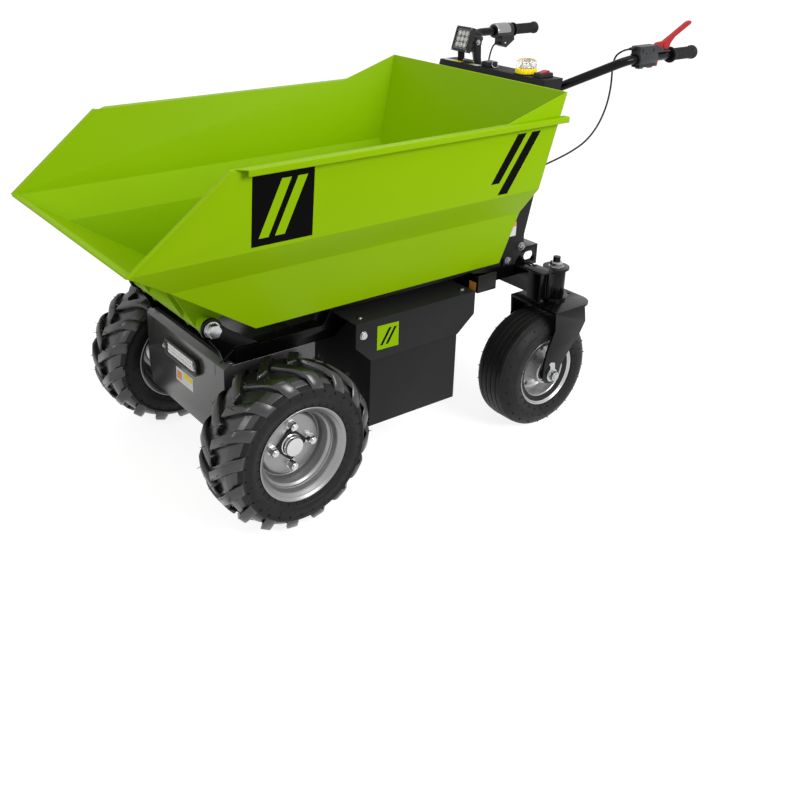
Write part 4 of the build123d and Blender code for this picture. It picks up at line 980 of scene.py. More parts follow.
class Shop:
    """Where the pieces are painted, hung on their bodies and counted."""

    joined, flat = 2e-6, 0.4  # metres between corners, degrees between faces: these become one
    thin = 1e-6  # edges shorter than this are taken out of fasteners
    bolt_angle, bead_angle = 28.0, 180.0  # turns at an edge, in degrees, that stay sharp
    bead_pitch = 0.9  # as a share of the bead's radius

    def __init__(self, frame: dict) -> None:
        """Reads the record and makes the node trees.
        """
        record = frame["record"]
        self.nodes = frame["nodes"]
        self.slots = {part["node"]: part["material_slot"] for part in record["subparts"]}
        self.body_of = {node: body for body, nodes in record["behaviour"]["bodies"].items()
                        for node in nodes}
        self.heads, self.ring, self.grid = heads_tree(), ring_tree(), grid_tree()
        self.nubs, self.bead = nubs_tree(), bead_tree()
        self._paints: dict[str, bpy.types.Material] = {}

    def paint(self, finish: str) -> bpy.types.Material:
        """The material of a finish, made once.

        Args:
            finish: the finish's key.

        Returns:
            The material.
        """
        if finish not in self._paints:
            self._paints[finish] = FINISHES[finish].build()
        return self._paints[finish]

    def show(self, name: str, mesh: bpy.types.Mesh, finish: str, body: str = "chassis",
             stands_for: Sequence[str] = ()) -> bpy.types.Object:
        """Puts a finished mesh into the scene.

        Args:
            name: the piece's name.
            mesh: its mesh, in place.
            finish: its finish, a slot of the record where there is one of that name.
            body: the CAD body that it rides on.
            stands_for: the CAD nodes that it replaces.

        Returns:
            The piece.
        """
        mesh.materials.clear()
        mesh.materials.append(self.paint(finish))
        piece = linked(name, mesh)
        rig.ride(piece, body)
        if stands_for:
            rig.replaces(piece, *stands_for)
        slot = finish if finish in self.slots.values() else self.slots.get(
            stands_for[0] if stands_for else "")
        if slot:
            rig.slot(piece, slot)
        mesh.calc_loop_triangles()
        log.info("%s on %s: %d triangles", name, body, len(mesh.loop_triangles))
        return piece

    def dress(self, node: str, width: float = 1.0, segments: int = 2, angle: float = 32.0,
              finish: str | None = None) -> bpy.types.Object:
        """Shows a CAD node as a copy of it with rounded edges.

        Args:
            node: the node.
            width: the rounding's width in millimetres.
            segments: faces across it.
            angle: the least turn at an edge that is rounded, in degrees.
            finish: another finish than the record's.

        Returns:
            The piece.
        """
        mesh = bpy.data.meshes.new(node)
        with reworked(self.nodes[node].data, mesh) as work:
            bmesh.ops.remove_doubles(work, verts=work.verts, dist=self.joined)
            bmesh.ops.dissolve_limit(work, angle_limit=math.radians(self.flat),
                                     verts=work.verts, edges=work.edges)
        return self.show(node + "_look", bevelled(mesh, width, segments, angle),
                         finish or self.slots[node], self.body_of[node], [node])

    def dress_all(self, edges: Edges) -> None:
        """Dresses a table of nodes."""
        for row in edges:
            self.dress(*row)

    def cut(self, name: str, finish: str, face: Face, outline: Pairs, low: float, high: float,
            width: float = 0.0, segments: int = 2, shrink: float = 1.0, body: str = "chassis",
            stands_for: Sequence[str] = ()) -> bpy.types.Object:
        """Shows a block drawn on a face.

        Args:
            name: the piece's name.
            finish: its finish.
            face: the face.
            outline: the corners on it.
            low: how far out from the face the block starts.
            high: how far out it ends.
            width: the width of its rounded edges, or 0.
            segments: faces across them.
            shrink: the end's size as a share of the start's.
            body: the body that it rides on.
            stands_for: the CAD nodes that it replaces.

        Returns:
            The piece.
        """
        mesh = Solid().block(face, outline, low, high, shrink).mesh(name)
        if width:
            mesh = bevelled(mesh, width, segments)
        return self.show(name, mesh, finish, body, stands_for)

    def label(self, name: str, finish: str, face: Face, outline: Pairs, lift: float = ON,
              thick: float = SHEET, body: str = "chassis") -> bpy.types.Object:
        """A stuck-on sheet with an outline drawn on a face."""
        return self.cut(name, "label_" + finish, face, outline, lift, lift + thick, body=body)

    def labels(self, face: Face, rows: Labels, body: str = "chassis") -> None:
        """Sticks a table of labels on a face."""
        for name, finish, outline, lift in rows:
            self.label(name, finish, face, outline, lift, body=body)

    def turned(self, name: str, finish: str, profile: Pairs, ease: float, centre: Vector,
               axis: Vector, angle: float = 35.0, body: str = "chassis",
               stands_for: Sequence[str] = (), **turn: object) -> bpy.types.Object:
        """Shows a turned form.

        Args:
            name: the piece's name.
            finish: its finish.
            profile: its corners as (along the axis, radius).
            ease: how far from a corner its rounding starts.
            centre: the point of the axis that "along" is measured from.
            axis: the direction of the axis.
            angle: the least turn at an edge, in degrees, that stays sharp.
            body: the body that it rides on.
            stands_for: the CAD nodes that it replaces.
            **turn: what Solid.lathe takes besides.

        Returns:
            The piece.
        """
        rounded = eased(profile, ease, turn.get("closed", True))
        mesh = Solid().lathe(rounded, centre, axis, **turn).mesh(name)
        return self.show(name, smoothed(mesh, angle), finish, body, stands_for)

    def grow(self, tree: Tree, name: str, finish: str, mesh: bpy.types.Mesh,
             body: str = "chassis", angle: float = 0.0, **values: object) -> bpy.types.Object:
        """Shows what a node tree makes of a mesh.

        Args:
            tree: the tree.
            name: the piece's name.
            finish: its finish.
            mesh: what goes into the tree, used up by it.
            body: the body that it rides on.
            angle: the least turn at an edge that stays sharp, or 0 for flat faces.
            **values: the tree's inputs.

        Returns:
            The piece.
        """
        made = tree.run(mesh, material=self.paint(finish), **values)
        return self.show(name, smoothed(made, angle) if angle else made, finish, body)

    def bolts(self, name: str, places: Sequence[tuple[Place, Vector]], head: Pair,
              washer: Pair = (0.0, 0.0), stud: Pair = (0.0, 0.0), sides: int = 6,
              finish: str = "zinc", body: str = "chassis") -> bpy.types.Object:
        """Fasteners of one size.

        Args:
            name: the piece's name.
            places: each one's foot in millimetres and the way that it faces.
            head: the head's radius and height.
            washer: the washer's radius and height.
            stud: the stud's radius and height.
            sides: the head's sides.
            finish: their finish.
            body: the body that they ride on.

        Returns:
            The piece.
        """
        points = bpy.data.meshes.new(name)
        points.from_pydata([at(*place) for place, _ in places], [], [])
        facing = points.attributes.new("facing", "FLOAT_VECTOR", "POINT")
        for i, (_, way) in enumerate(places):
            facing.data[i].vector = way
        values = {f"{part}_{what}": size / 1000.0
                  for part, pair in (("head", head), ("washer", washer), ("stud", stud))
                  for what, size in zip(("radius", "height"), pair)}
        made = self.heads.run(points, sides=sides, material=self.paint(finish), **values)
        with reworked(made, made) as work:
            bmesh.ops.dissolve_degenerate(work, dist=self.thin, edges=work.edges)
            bmesh.ops.delete(work, context="VERTS",
                             geom=[corner for corner in work.verts if not corner.link_faces])
        return self.show(name, smoothed(made, self.bolt_angle), finish, body)

    def weld(self, name: str, finish: str, lines: Sequence[Sequence[Place]], radius: float,
             body: str) -> bpy.types.Object:
        """Weld beads.

        Args:
            name: the piece's name.
            finish: their finish.
            lines: the points of each bead's line in millimetres.
            radius: the beads' radius.
            body: the body that they ride on.

        Returns:
            The piece.
        """
        points: list[Vector] = []
        edges: list[tuple[int, int]] = []
        for line in lines:
            edges += [(len(points) + i, len(points) + i + 1) for i in range(len(line) - 1)]
            points += [at(*place) for place in line]
        mesh = bpy.data.meshes.new(name)
        mesh.from_pydata(points, edges, [])
        return self.grow(self.bead, name, finish, mesh, body, self.bead_angle,
                         radius=radius / 1000.0, pitch=self.bead_pitch * radius / 1000.0)


@dataclass
class Skip:
    """The tipping tub, its rims, pivot and striker, its stripes and welds."""

    shop: Shop
    edges: Edges = (("skip_tub", 1.3, 2, 20.0), ("skip_rims", 1.5), ("skip_pivot",),
                    ("skip_striker", 0.8))
    waist_z: float = 693.0
    waist_half: float = 329.0
    rim_half: float = 340.0
    rim_z: float = 878.0
    block: Pairs = rect(-53, 9, 99, 168)
    block_bars: tuple[Pairs, ...] = (
        ((58, 26), (82, 26), (28, 150), (4, 150)), ((18, 26), (42, 26), (-12, 150), (-36, 150)))
    tail_bars: tuple[Pairs, ...] = (
        ((-648, 156), (-677, 156), (-602, 38), (-575, 38)),
        ((-696, 156), (-726, 156), (-633, 7), (-601, 7)))
    bead_ys: tuple[float, ...] = (85.0, 97.0, 145.0, 157.0)
    bead_ends: Pairs = ((55, 484), (205, 582))
    bead_radius: float = 2.0

    def build(self) -> None:
        """Makes the nodes, the stripes, and the beads where the ribs meet the ramp."""
        self.shop.dress_all(self.edges)
        for name, side in SIDES:
            self._stripes(name, side)
        lines = mirrored([[(x, y, z) for x, z in self.bead_ends] for y in self.bead_ys])
        self.shop.weld("skip_welds", "skip_green", lines, self.bead_radius, "skip")

    def panel(self, side: int) -> Face:
        """The upper side panel's outer face.

        Args:
            side: +1 for the left panel, -1 for the right one.

        Returns:
            The face, its "up" measured as height.
        """
        lean = (self.rim_half - self.waist_half) / (self.rim_z - self.waist_z)
        return Face(Vector((0, side * self.waist_half, self.waist_z)), X,
                    Vector((0, side * lean, 1)), Vector((0, side, -lean)).normalized())

    def _stripes(self, name: str, side: int) -> None:
        """The black block with its green bars, and the two black bars at the back.

        Args:
            name: the side's name.
            side: +1 for the left side, -1 for the right one.
        """
        rows = [(f"block_{name}", "black", self.block, ON)]
        rows += [(f"block_bar_{i}_{name}", "green", bar, OVER)
                 for i, bar in enumerate(self.block_bars)]
        rows += [(f"tail_bar_{i}_{name}", "black", bar, ON)
                 for i, bar in enumerate(self.tail_bars)]
        self.shop.labels(self.panel(side), rows, "skip")


@dataclass
class LampFront:
    """A lamp's plate, its mirror cups with a light-emitting chip in each, and its glass.

    plate and glass are how far out from the face each starts and ends, and cup is the
    cups' radius and depth.
    """

    name: str
    finish: str
    face: Face
    half: Pair
    plate: Pair
    glass: Pair
    inset: float
    count: tuple[int, int]
    pitch: Pair
    cup: Pair

    def build(self, shop: Shop) -> None:
        """Makes the pieces on the chassis.

        Args:
            shop: where they are painted and hung.
        """
        wide, high = self.half
        shop.cut(f"{self.name}_plate", self.finish, self.face, rect(-wide, -high, wide, high),
                 *self.plate)
        self._cups(shop)
        wide, high = wide - self.inset, high - self.inset
        shop.cut(f"{self.name}_glass", "lens", self.face, rect(-wide, -high, wide, high),
                 *self.glass, stands_for=[f"{self.name}_lens"])

    def _cups(self, shop: Shop) -> None:
        """The cups and the chips.

        Args:
            shop: where they are painted and hung.
        """
        radius, depth = self.cup
        cup = ((0.0, 0.0), (0.2, 0.3 * radius), (depth, 0.88 * radius), (depth, radius),
               (-0.05, radius), (-0.05, 0.0))
        chip = ((0.2, 0.0), (0.2, 0.26 * radius), (0.45 * depth, 0.2 * radius),
                (0.55 * depth, 0.0))
        (columns, rows), (across, up) = self.count, self.pitch
        face = self.face
        tilt = Matrix((face.across, face.up, face.out)).transposed().to_euler()
        for part, profile, finish in (("", cup, "mirror"), ("_chips", chip, "led")):
            shape = Solid().lathe(profile, ORIGIN, Z, steps=20, closed=False)
            shop.grow(shop.grid, f"{self.name}_cups{part}", finish,
                      shape.mesh("cup", local=True), angle=35.0, columns=columns, rows=rows,
                      width=(columns - 1) * across / 1000.0, height=(rows - 1) * up / 1000.0,
                      tilt=tuple(tilt), centre=tuple(at(*face.at(0, 0, self.plate[1]))))


@dataclass
class Chassis:
    """Frame, nose, battery box with its covers, rear beam and motors."""

    shop: Shop
    edges: Edges = (
        ("main_frame",), ("nose_cover", 1.4, 2, 32.0, "nose_paint"), ("rest_pads", 2.0, 3),
        ("battery_box", 1.5), ("side_cover_left",), ("drive_motor_left", 1.5),
        ("side_cover_right",), ("drive_motor_right", 1.5), ("rear_beam", 1.4),
        ("rear_bracket",), ("pivot_pin", 1.6))
    nose_x: float = 102.0
    nose_plates: Labels = (
        ("nose_plate", "white", rect(-43, 243, 46, 279), ON),
        ("nose_plate_yellow", "yellow", rect(-2, 262, 43, 276), OVER),
        ("nose_plate_orange", "orange", rect(-37, 250, -14, 271), OVER))
    # a thin black strip on each side of the nose, painted as the shade in a small slot: left, low, right, high
    nose_seam: tuple[float, float, float, float] = (160, 340, 161.4, 368)
    pocket_x: float = -596.0
    pocket_plates: Labels = (("pocket_plate", "orange", rect(256, 431, 281, 454), ON),)
    cover_y: float = 300.0
    cover_block: Pairs = ((-262, 360), (-328, 358), (-327, 421), (-262, 423))
    cover_bars: tuple[Pairs, ...] = (
        ((-271, 370), (-279, 370), (-305, 412), (-297, 412)),
        ((-288, 370), (-296, 370), (-321, 411), (-313, 411)))
    column_y: float = 208.0
    column_plates: Labels = (
        ("column_plate", "white", rect(-781, 523, -803, 562), ON),
        ("column_plate_orange", "orange", rect(-781.5, 550, -802.5, 561.5), OVER))
    column_bolts: tuple[Place, ...] = ((-779, 208, 455), (-826, 208, 487))
    cover_bolts: tuple[Place, ...] = ((-220, 300, 410),)
    cover_rivets: tuple[Place, ...] = ((-230, 272, 442), (-555, 272, 442))
    bracket_bolts: tuple[Place, ...] = ((-884, 202, 440),)
    lamp_place: Place = (109.2, 0, 324)
    lamp_screws: tuple[Place, ...] = ((114, 79, 324),)
    # up the castor posts, round their caps' feet, and along the ears
    beads: tuple[tuple[Place, Place], ...] = (
        ((-845, 272, 368), (-845, 272, 436)), ((-845, 308, 368), (-845, 308, 436)),
        ((-817, 264, 434), (-815, 204, 434)), ((-857, 264, 434), (-857, 206, 434)),
        ((104, 192, 384), (60, 192, 414)))
    bead_radius: float = 2.4

    def build(self) -> None:
        """Makes every piece of the chassis below the column."""
        self.shop.dress_all(self.edges)
        self._fasteners()
        self._labels()
        self.shop.weld("chassis_welds", "black_paint", mirrored(self.beads), self.bead_radius,
                       "chassis")
        self._nose_lamp()

    def _fasteners(self) -> None:
        """Bolts of the column's feet, the covers and the rear bracket."""
        bolts = self.shop.bolts
        bolts("column_bolts", both_sides(self.column_bolts),
              head=(9.5, 7.0), washer=(12.0, 2.0), stud=(5.0, 2.5))
        bolts("cover_bolts", both_sides(self.cover_bolts),
              head=(9.0, 5.0), washer=(10.5, 1.2), stud=(4.0, 0.6), sides=24)
        bolts("cover_rivets", both_sides(self.cover_rivets, Z),
              head=(5.5, 2.5), washer=(8.0, 1.0), sides=20)
        bolts("bracket_bolts", both_sides(self.bracket_bolts),
              head=(7.0, 5.0), washer=(9.5, 1.5), stud=(4.0, 2.0), finish="black_paint")

    def _labels(self) -> None:
        """Blank plates, the covers' green blocks, and thin black strips painted as the shade in the nose's small
        slots.
        """
        shop, nose = self.shop, Face(self.nose_x * X, Y, Z, X)
        left, low, right, high = self.nose_seam
        shop.labels(nose, self.nose_plates)
        shop.labels(Face(self.pocket_x * X, Y, Z, X), self.pocket_plates)
        for name, side in SIDES:
            cover = Face(side * self.cover_y * Y, X, Z, side * Y)
            shop.label(f"cover_block_{name}", "green", cover, self.cover_block)
            for i, bar in enumerate(self.cover_bars):
                shop.label(f"cover_block_bar_{i}_{name}", "black", cover, bar, OVER)
            # painted shade: a black film where the nose's slot is dark
            shop.label(f"nose_seam_{name}", "black", nose,
                       rect(side * left, low, side * right, high), thick=FILM)
        shop.labels(Face(self.column_y * Y, X, Z, Y), self.column_plates)

    def _nose_lamp(self) -> None:
        """The lamp bar on the nose with its screws."""
        self.shop.dress("nose_lamp", width=1.2)
        LampFront("nose_lamp", "mirror", Face(Vector(self.lamp_place), Y, Z, X),
                  half=(69, 14.5), plate=(0, 0.3), glass=(2.2, 2.9), inset=0.2, count=(14, 3),
                  pitch=(9.4, 9.3), cup=(4.4, 1.6)).build(self.shop)
        self.shop.bolts("nose_lamp_screws", both_sides(self.lamp_screws, X),
                        head=(4.6, 3.2), washer=(6.0, 0.8), stud=(2.0, 1.0))


@dataclass
class Column:
    """Control column with its latch, lamp, beacon, switch and lead socket."""

    shop: Shop
    edges: Edges = (("control_column", 2.0, 3), ("skip_latch", 0.8), ("lead_socket", 2.0, 3))
    top_z: float = 938.0
    lamp_place: Place = (-868.0, -120.0, 1006.0)
    lamp_pitch: float = math.radians(17.0)
    lamp_screws: Pair = (29.7, 31.7)
    # y is measured from the lamp's own
    lamp_pivots: tuple[Place, ...] = ((-898, 36, 998),)
    lamp_feet: tuple[Place, ...] = ((-902, 22, 941),)
    beacon: Pair = (-901.2, 106.0)
    core_rise: float = 16.0
    core: Pairs = ((0.2, 0), (0.2, 15), (5, 15), (8, 9), (17, 8), (18, 0))
    seal: Pairs = ((0, 26), (0, 33), (2.5, 33), (2.5, 26))
    switch_place: Place = (-902.2, 168.0, 938.0)
    switch: Pairs = rect(-24, -15, 24, 15)
    switch_high: float = 12.0
    switch_shrink: float = 0.94
    rocker_place: Place = (-902.2, 159.0, 948.0)
    rocker_wide: float = 18.0
    rocker: Pairs = ((-15, 0), (15, 0), (15, 3.5), (3, 5.0), (-6, 7.0), (-15, 7.0))
    tie: Pairs = ((-1.3, 8.4), (1.3, 8.4), (1.3, 9.6), (-1.3, 9.6))
    tie_place: Place = (-888.2, 0.0, 949.0)
    tie_axis: Place = (0.8, 0.6, 0.0)
    top_plates: Labels = (
        ("top_plate_white", "white", rect(-872.2, -201, -890.2, -168), ON),
        ("top_plate_yellow", "yellow", rect(-872.2, -167, -890.2, -128), ON),
        ("top_plate_green", "green", rect(-872.2, -92, -890.2, -76), ON),
        ("top_plate_pale", "white", rect(-872.2, -75, -890.2, -55), ON))

    def build(self) -> None:
        """Makes every piece on the column."""
        self.shop.dress_all(self.edges)
        self._lamp()
        self._beacon()
        self._switch()
        self.shop.labels(Face(self.top_z * Z, X, Y, Z), self.top_plates)
        self.shop.turned("socket_tie", "label_white", self.tie, 0.3, Vector(self.tie_place),
                         Vector(self.tie_axis).normalized(), 60.0, steps=40)

    def _lamp(self) -> None:
        """The finned lamp with nine cups behind its lens, and its bracket."""
        shop, middle = self.shop, self.lamp_place[1]
        shop.dress_all((("work_lamp",), ("lamp_bracket", 0.8)))
        out = Vector((math.cos(self.lamp_pitch), 0, math.sin(self.lamp_pitch)))
        up = Vector((-math.sin(self.lamp_pitch), 0, math.cos(self.lamp_pitch)))
        face = Face(Vector(self.lamp_place), Y, up, out)
        LampFront("work_lamp", "lamp_black", face, half=(27, 29), plate=(-4.9, -4.7),
                  glass=(-1.8, -1.0), inset=0.1, count=(3, 3), pitch=(15.2, 16.0),
                  cup=(7.5, 2.6)).build(shop)
        across, high = self.lamp_screws
        shop.bolts("work_lamp_screws", [(face.at(a, b), out) for a in (-across, across)
                                        for b in (-high, high)], head=(2.0, 0.8), sides=16)
        shop.bolts("work_lamp_pivots", both_sides(self.lamp_pivots, middle=middle),
                   head=(5.5, 4.0), washer=(7.5, 1.0), stud=(2.5, 0.8))
        shop.bolts("lamp_foot_screws", both_sides(self.lamp_feet, Z, middle),
                   head=(4.5, 3.5), washer=(6.5, 0.8))

    def _beacon(self) -> None:
        """The beacon's ribbed yellow foot, clear dome and the light inside."""
        shop, (ahead, y) = self.shop, self.beacon
        # the yellow foot's finish glows: painted light
        shop.dress_all((("beacon_base", 0.7, 2, 40.0), ("beacon_dome", 0.5, 2, 40.0)))
        foot = Vector((ahead, y, self.top_z))
        shop.turned("beacon_core", "chrome", self.core, 1.0, foot + self.core_rise * Z, Z,
                    steps=32, closed=False)
        shop.turned("beacon_seal", "black_rubber", self.seal, 0.6, foot, Z, steps=48)

    def _switch(self) -> None:
        """The battery switch: black body, red rocker."""
        self.shop.cut("switch_body", "black_plastic", Face(Vector(self.switch_place), X, Y, Z),
                      self.switch, 0.0, self.switch_high, 2.0, 3, self.switch_shrink,
                      stands_for=["key_switch"])
        self.shop.cut("switch_rocker", "red_plastic", Face(Vector(self.rocker_place), X, Z, Y),
                      self.rocker, 0.0, self.rocker_wide, 1.0)


@dataclass
class Handlebar:
    """The bent bar with its grips, throttle, clamp and red lever."""

    shop: Shop
    edges: Edges = (("handlebar", 1.0, 2, 50.0), ("bar_saddles", 1.5),
                    ("lever_clamp", 1.8, 3, 32.0, "clamp_plastic"))
    bar_y: float = 300.0
    bar_z: float = 987.0
    grip_x: float = -1248.0
    grip: Pairs = ((0, 12.6), (0, 22), (5, 22), (6.5, 15.6), (90, 15.6), (93, 19), (101, 19),
                   (104, 15), (104, 0), (101, 0), (101, 12.6))
    ridge: Pairs = rect(9, -0.8, 88, 0.8)
    ridge_reach: Pair = (15.0, 16.5)
    ridges: int = 30
    throttle_x: float = -1166.0
    barrel: Pairs = ((0, 12.6), (0, 21), (6, 22.5), (68, 22.5), (74, 20), (74, 12.6))
    shell: Pairs = ((0, 19.5), (0, 22.5), (5, 24), (50, 24), (58, 22), (58, 19.5))
    box: Pairs = ((-1190, 985), (-1190, 942), (-1211, 934), (-1246, 957), (-1240, 985))
    box_half: float = 17.0
    throttle_screws: tuple[Place, ...] = ((-1205, 17, 950),)
    blade: Pairs = (
        (-1178.3, 1018.3), (-1189, 1025), (-1214, 1026), (-1308, 1073), (-1320, 1075),
        (-1325, 1071), (-1321, 1065), (-1260, 1035), (-1244, 1020), (-1237, 1003.6),
        (-1204.3, 1003.6), (-1204.3, 1010.3))
    blade_half: float = 5.0
    boss_place: Place = (-1219, 300, 1013)
    boss: Pairs = ((-16.5, 0), (-16.5, 7), (-5, 8), (7, 8), (8, 6), (8, 0))
    tail_y: float = 286.0
    tail_half: float = 2.5
    tail: Pairs = ((-1212, 1014), (-1226, 1014), (-1220, 975), (-1217, 957), (-1211, 957),
                   (-1210, 975))
    clamp_screws: tuple[Place, ...] = ((-1126, 7, 968), (-1164, 7, 968))
    saddle_screws: tuple[Place, ...] = (
        (-968, 62, 878), (-968, 78, 878), (-968, -78, 878), (-968, -62, 878))
    clamp_base: Pairs = rect(-1176, -14, -1109, 14)
    clamp_base_zs: Pair = (964, 977)
    clamp_side_y: float = 315.0
    # black strips on the clamp's side, painted as the shade in its slots: ahead, low and high of each
    clamp_slots: tuple[Place, ...] = (
        (-1116, 1004, 1014), (-1132, 991, 1003), (-1146, 985, 1000), (-1160, 1004, 1012))
    slot_half: float = 1.6
    # name, finish, profile and place of the sleeves that the two cables come out of
    sleeves: tuple[tuple[str, str, Pairs, Place], ...] = (
        ("release_sleeve", "black_plastic",
         ((-4, 2.6), (-4, 5.5), (4, 5.5), (20, 3.4), (20, 2.6)), (-1106, 294, 1014)),
        ("throttle_sleeve", "black_rubber",
         ((-2, 2.6), (-2, 5.0), (3, 5.0), (14, 3.3), (14, 2.6)), (-1190, -300, 947)))

    def build(self) -> None:
        """Makes every piece on the bar."""
        self.shop.dress_all(self.edges)
        for name, side in SIDES:
            self._grip(name, side)
        self._throttle()
        self._lever()
        self._clamp_trim()

    def _grip(self, name: str, side: int) -> None:
        """A ridged rubber grip with a flange and a rounded end.

        Args:
            name: the side's name.
            side: +1 for the left grip, -1 for the right one.
        """
        shop, centre = self.shop, Vector((self.grip_x, side * self.bar_y, self.bar_z))
        shop.turned(f"grip_{name}_look", "black_rubber", self.grip, 1.6, centre, -X, steps=64,
                    stands_for=[f"grip_{name}"])
        ridge = Solid().block(Face(ORIGIN, -X, Y, Z), self.ridge, *self.ridge_reach)
        shop.grow(shop.ring, f"grip_{name}_ridges", "black_rubber",
                  ridge.mesh("ridge", local=True), count=self.ridges, axis=(1, 0, 0),
                  centre=tuple(at(*centre)))

    def _throttle(self) -> None:
        """The throttle: a black barrel and box under a silver shell."""
        shop, y = self.shop, -self.bar_y
        centre = Vector((self.throttle_x, y, self.bar_z))
        shop.turned("throttle_barrel", "black_plastic", self.barrel, 1.5, centre, -X, steps=64,
                    stands_for=["throttle"])
        shop.turned("throttle_shell", "rim_silver", self.shell, 1.5, centre, -X, steps=32,
                    start=-100.0, sweep=200.0, across=Z)
        shop.cut("throttle_box", "black_plastic", Face((y - self.box_half) * Y, X, Z, Y),
                 self.box, 0.0, 2 * self.box_half, 2.2, 3)
        shop.bolts("throttle_screws", both_sides(self.throttle_screws, middle=y),
                   head=(3.2, 1.2), sides=16)

    def _lever(self) -> None:
        """The red lever: a tapered blade with a wide root, and the tail behind the bar."""
        blade = Solid().block(Face(self.bar_y * Y, X, Z, Y), eased(self.blade, 4.0),
                              -self.blade_half, self.blade_half)
        boss = Solid().lathe(eased(self.boss, 1.0, closed=False), Vector(self.boss_place), Y,
                             steps=32, closed=False)
        tail = Solid().block(Face(self.tail_y * Y, X, Z, Y), eased(self.tail, 2.0),
                             -self.tail_half, self.tail_half)
        for title, solid, stands_for in (("blade", blade, ["release_lever"]),
                                         ("boss", boss, []), ("tail", tail, [])):
            self.shop.show(f"lever_{title}", bevelled(solid.mesh(title), 1.6, 3), "red_plastic",
                           stands_for=stands_for)

    def _clamp_trim(self) -> None:
        """Screws of the clamp, black strips painted as the shade in its slots, the saddles' screws, and the cables'
        sleeves.
        """
        shop, half = self.shop, self.slot_half
        shop.bolts("clamp_screws", both_sides(self.clamp_screws, middle=self.bar_y),
                   head=(4.0, 2.5), stud=(1.6, 0.6))
        shop.cut("clamp_base", "black_plastic", Face(self.bar_y * Y, X, Y, Z), self.clamp_base,
                 *self.clamp_base_zs, 2.5, 3)
        # painted shade: thin black sheets where the slots' recesses are dark
        for i, (ahead, low, high) in enumerate(self.clamp_slots):
            shop.label(f"clamp_slot_{i}", "black", Face(self.clamp_side_y * Y, X, Z, Y),
                       rect(ahead - half, low, ahead + half, high), thick=FILM)
        shop.bolts("saddle_screws", [(place, -X) for place in self.saddle_screws],
                   head=(4.5, 4.0), washer=(6.0, 0.8))
        for name, finish, profile, place in self.sleeves:
            shop.turned(name, finish, profile, 0.6, Vector(place), X, steps=24)


@dataclass
class Wheel:
    """What the wheels share: their place, and turned and repeated pieces round it."""

    shop: Shop
    name: str
    side: int
    kind: str = ""
    tyre: str = ""
    ahead: float = 0.0
    centre_y: float = 0.0
    radius: float = 0.0
    rib_rows: tuple[RibRow, ...] = ()
    rib_half: float = 0.6

    def __post_init__(self) -> None:
        """Works out where the wheel stands."""
        self.body = f"{self.kind}_{self.name}"
        self.tyre = f"{self.tyre}_{self.name}"
        self.centre = Vector((self.ahead, self.side * self.centre_y, self.radius))
        self.axis = self.side * Y

    def turned(self, name: str, finish: str, profile: Pairs, ease: float,
               angle: float = 35.0, way: int = 1, **more: object) -> bpy.types.Object:
        """Shows a turned piece of the wheel, or one turned the other way for way -1."""
        return self.shop.turned(name, finish, profile, ease, self.centre, way * self.axis,
                                angle, self.body, **more)

    def ringed(self, name: str, finish: str, solid: bpy.types.Mesh, count: int, phase: float,
               angle: float = 0.0) -> bpy.types.Object:
        """Shows a shape repeated round the wheel's axis.

        Args:
            name: the piece's name.
            finish: its finish.
            solid: the shape, round the wheel's centre.
            count: how many times it stands there.
            phase: how far on the first one stands, in radians.
            angle: the least turn at an edge that stays sharp, or 0 for flat faces.

        Returns:
            The piece.
        """
        return self.shop.grow(self.shop.ring, name, finish, solid, self.body, angle,
                              count=count, phase=phase, axis=(0, 1, 0),
                              centre=tuple(at(*self.centre)))

    def side_ribs(self) -> None:
        """Rings of short moulded ribs on both sidewalls of the tyre."""
        for way, title in ENDS:
            face = Face(ORIGIN, X, Z, Y * way * self.side)
            for place, count, phase, low, high, foot, top in self.rib_rows:
                rib = Solid().block(face, rect(-self.rib_half, low, self.rib_half, high),
                                    foot, top)
                self.ringed(f"{self.tyre}_{place}_ribs_{title}", "black_rubber",
                            rib.mesh("rib", local=True), count, phase)


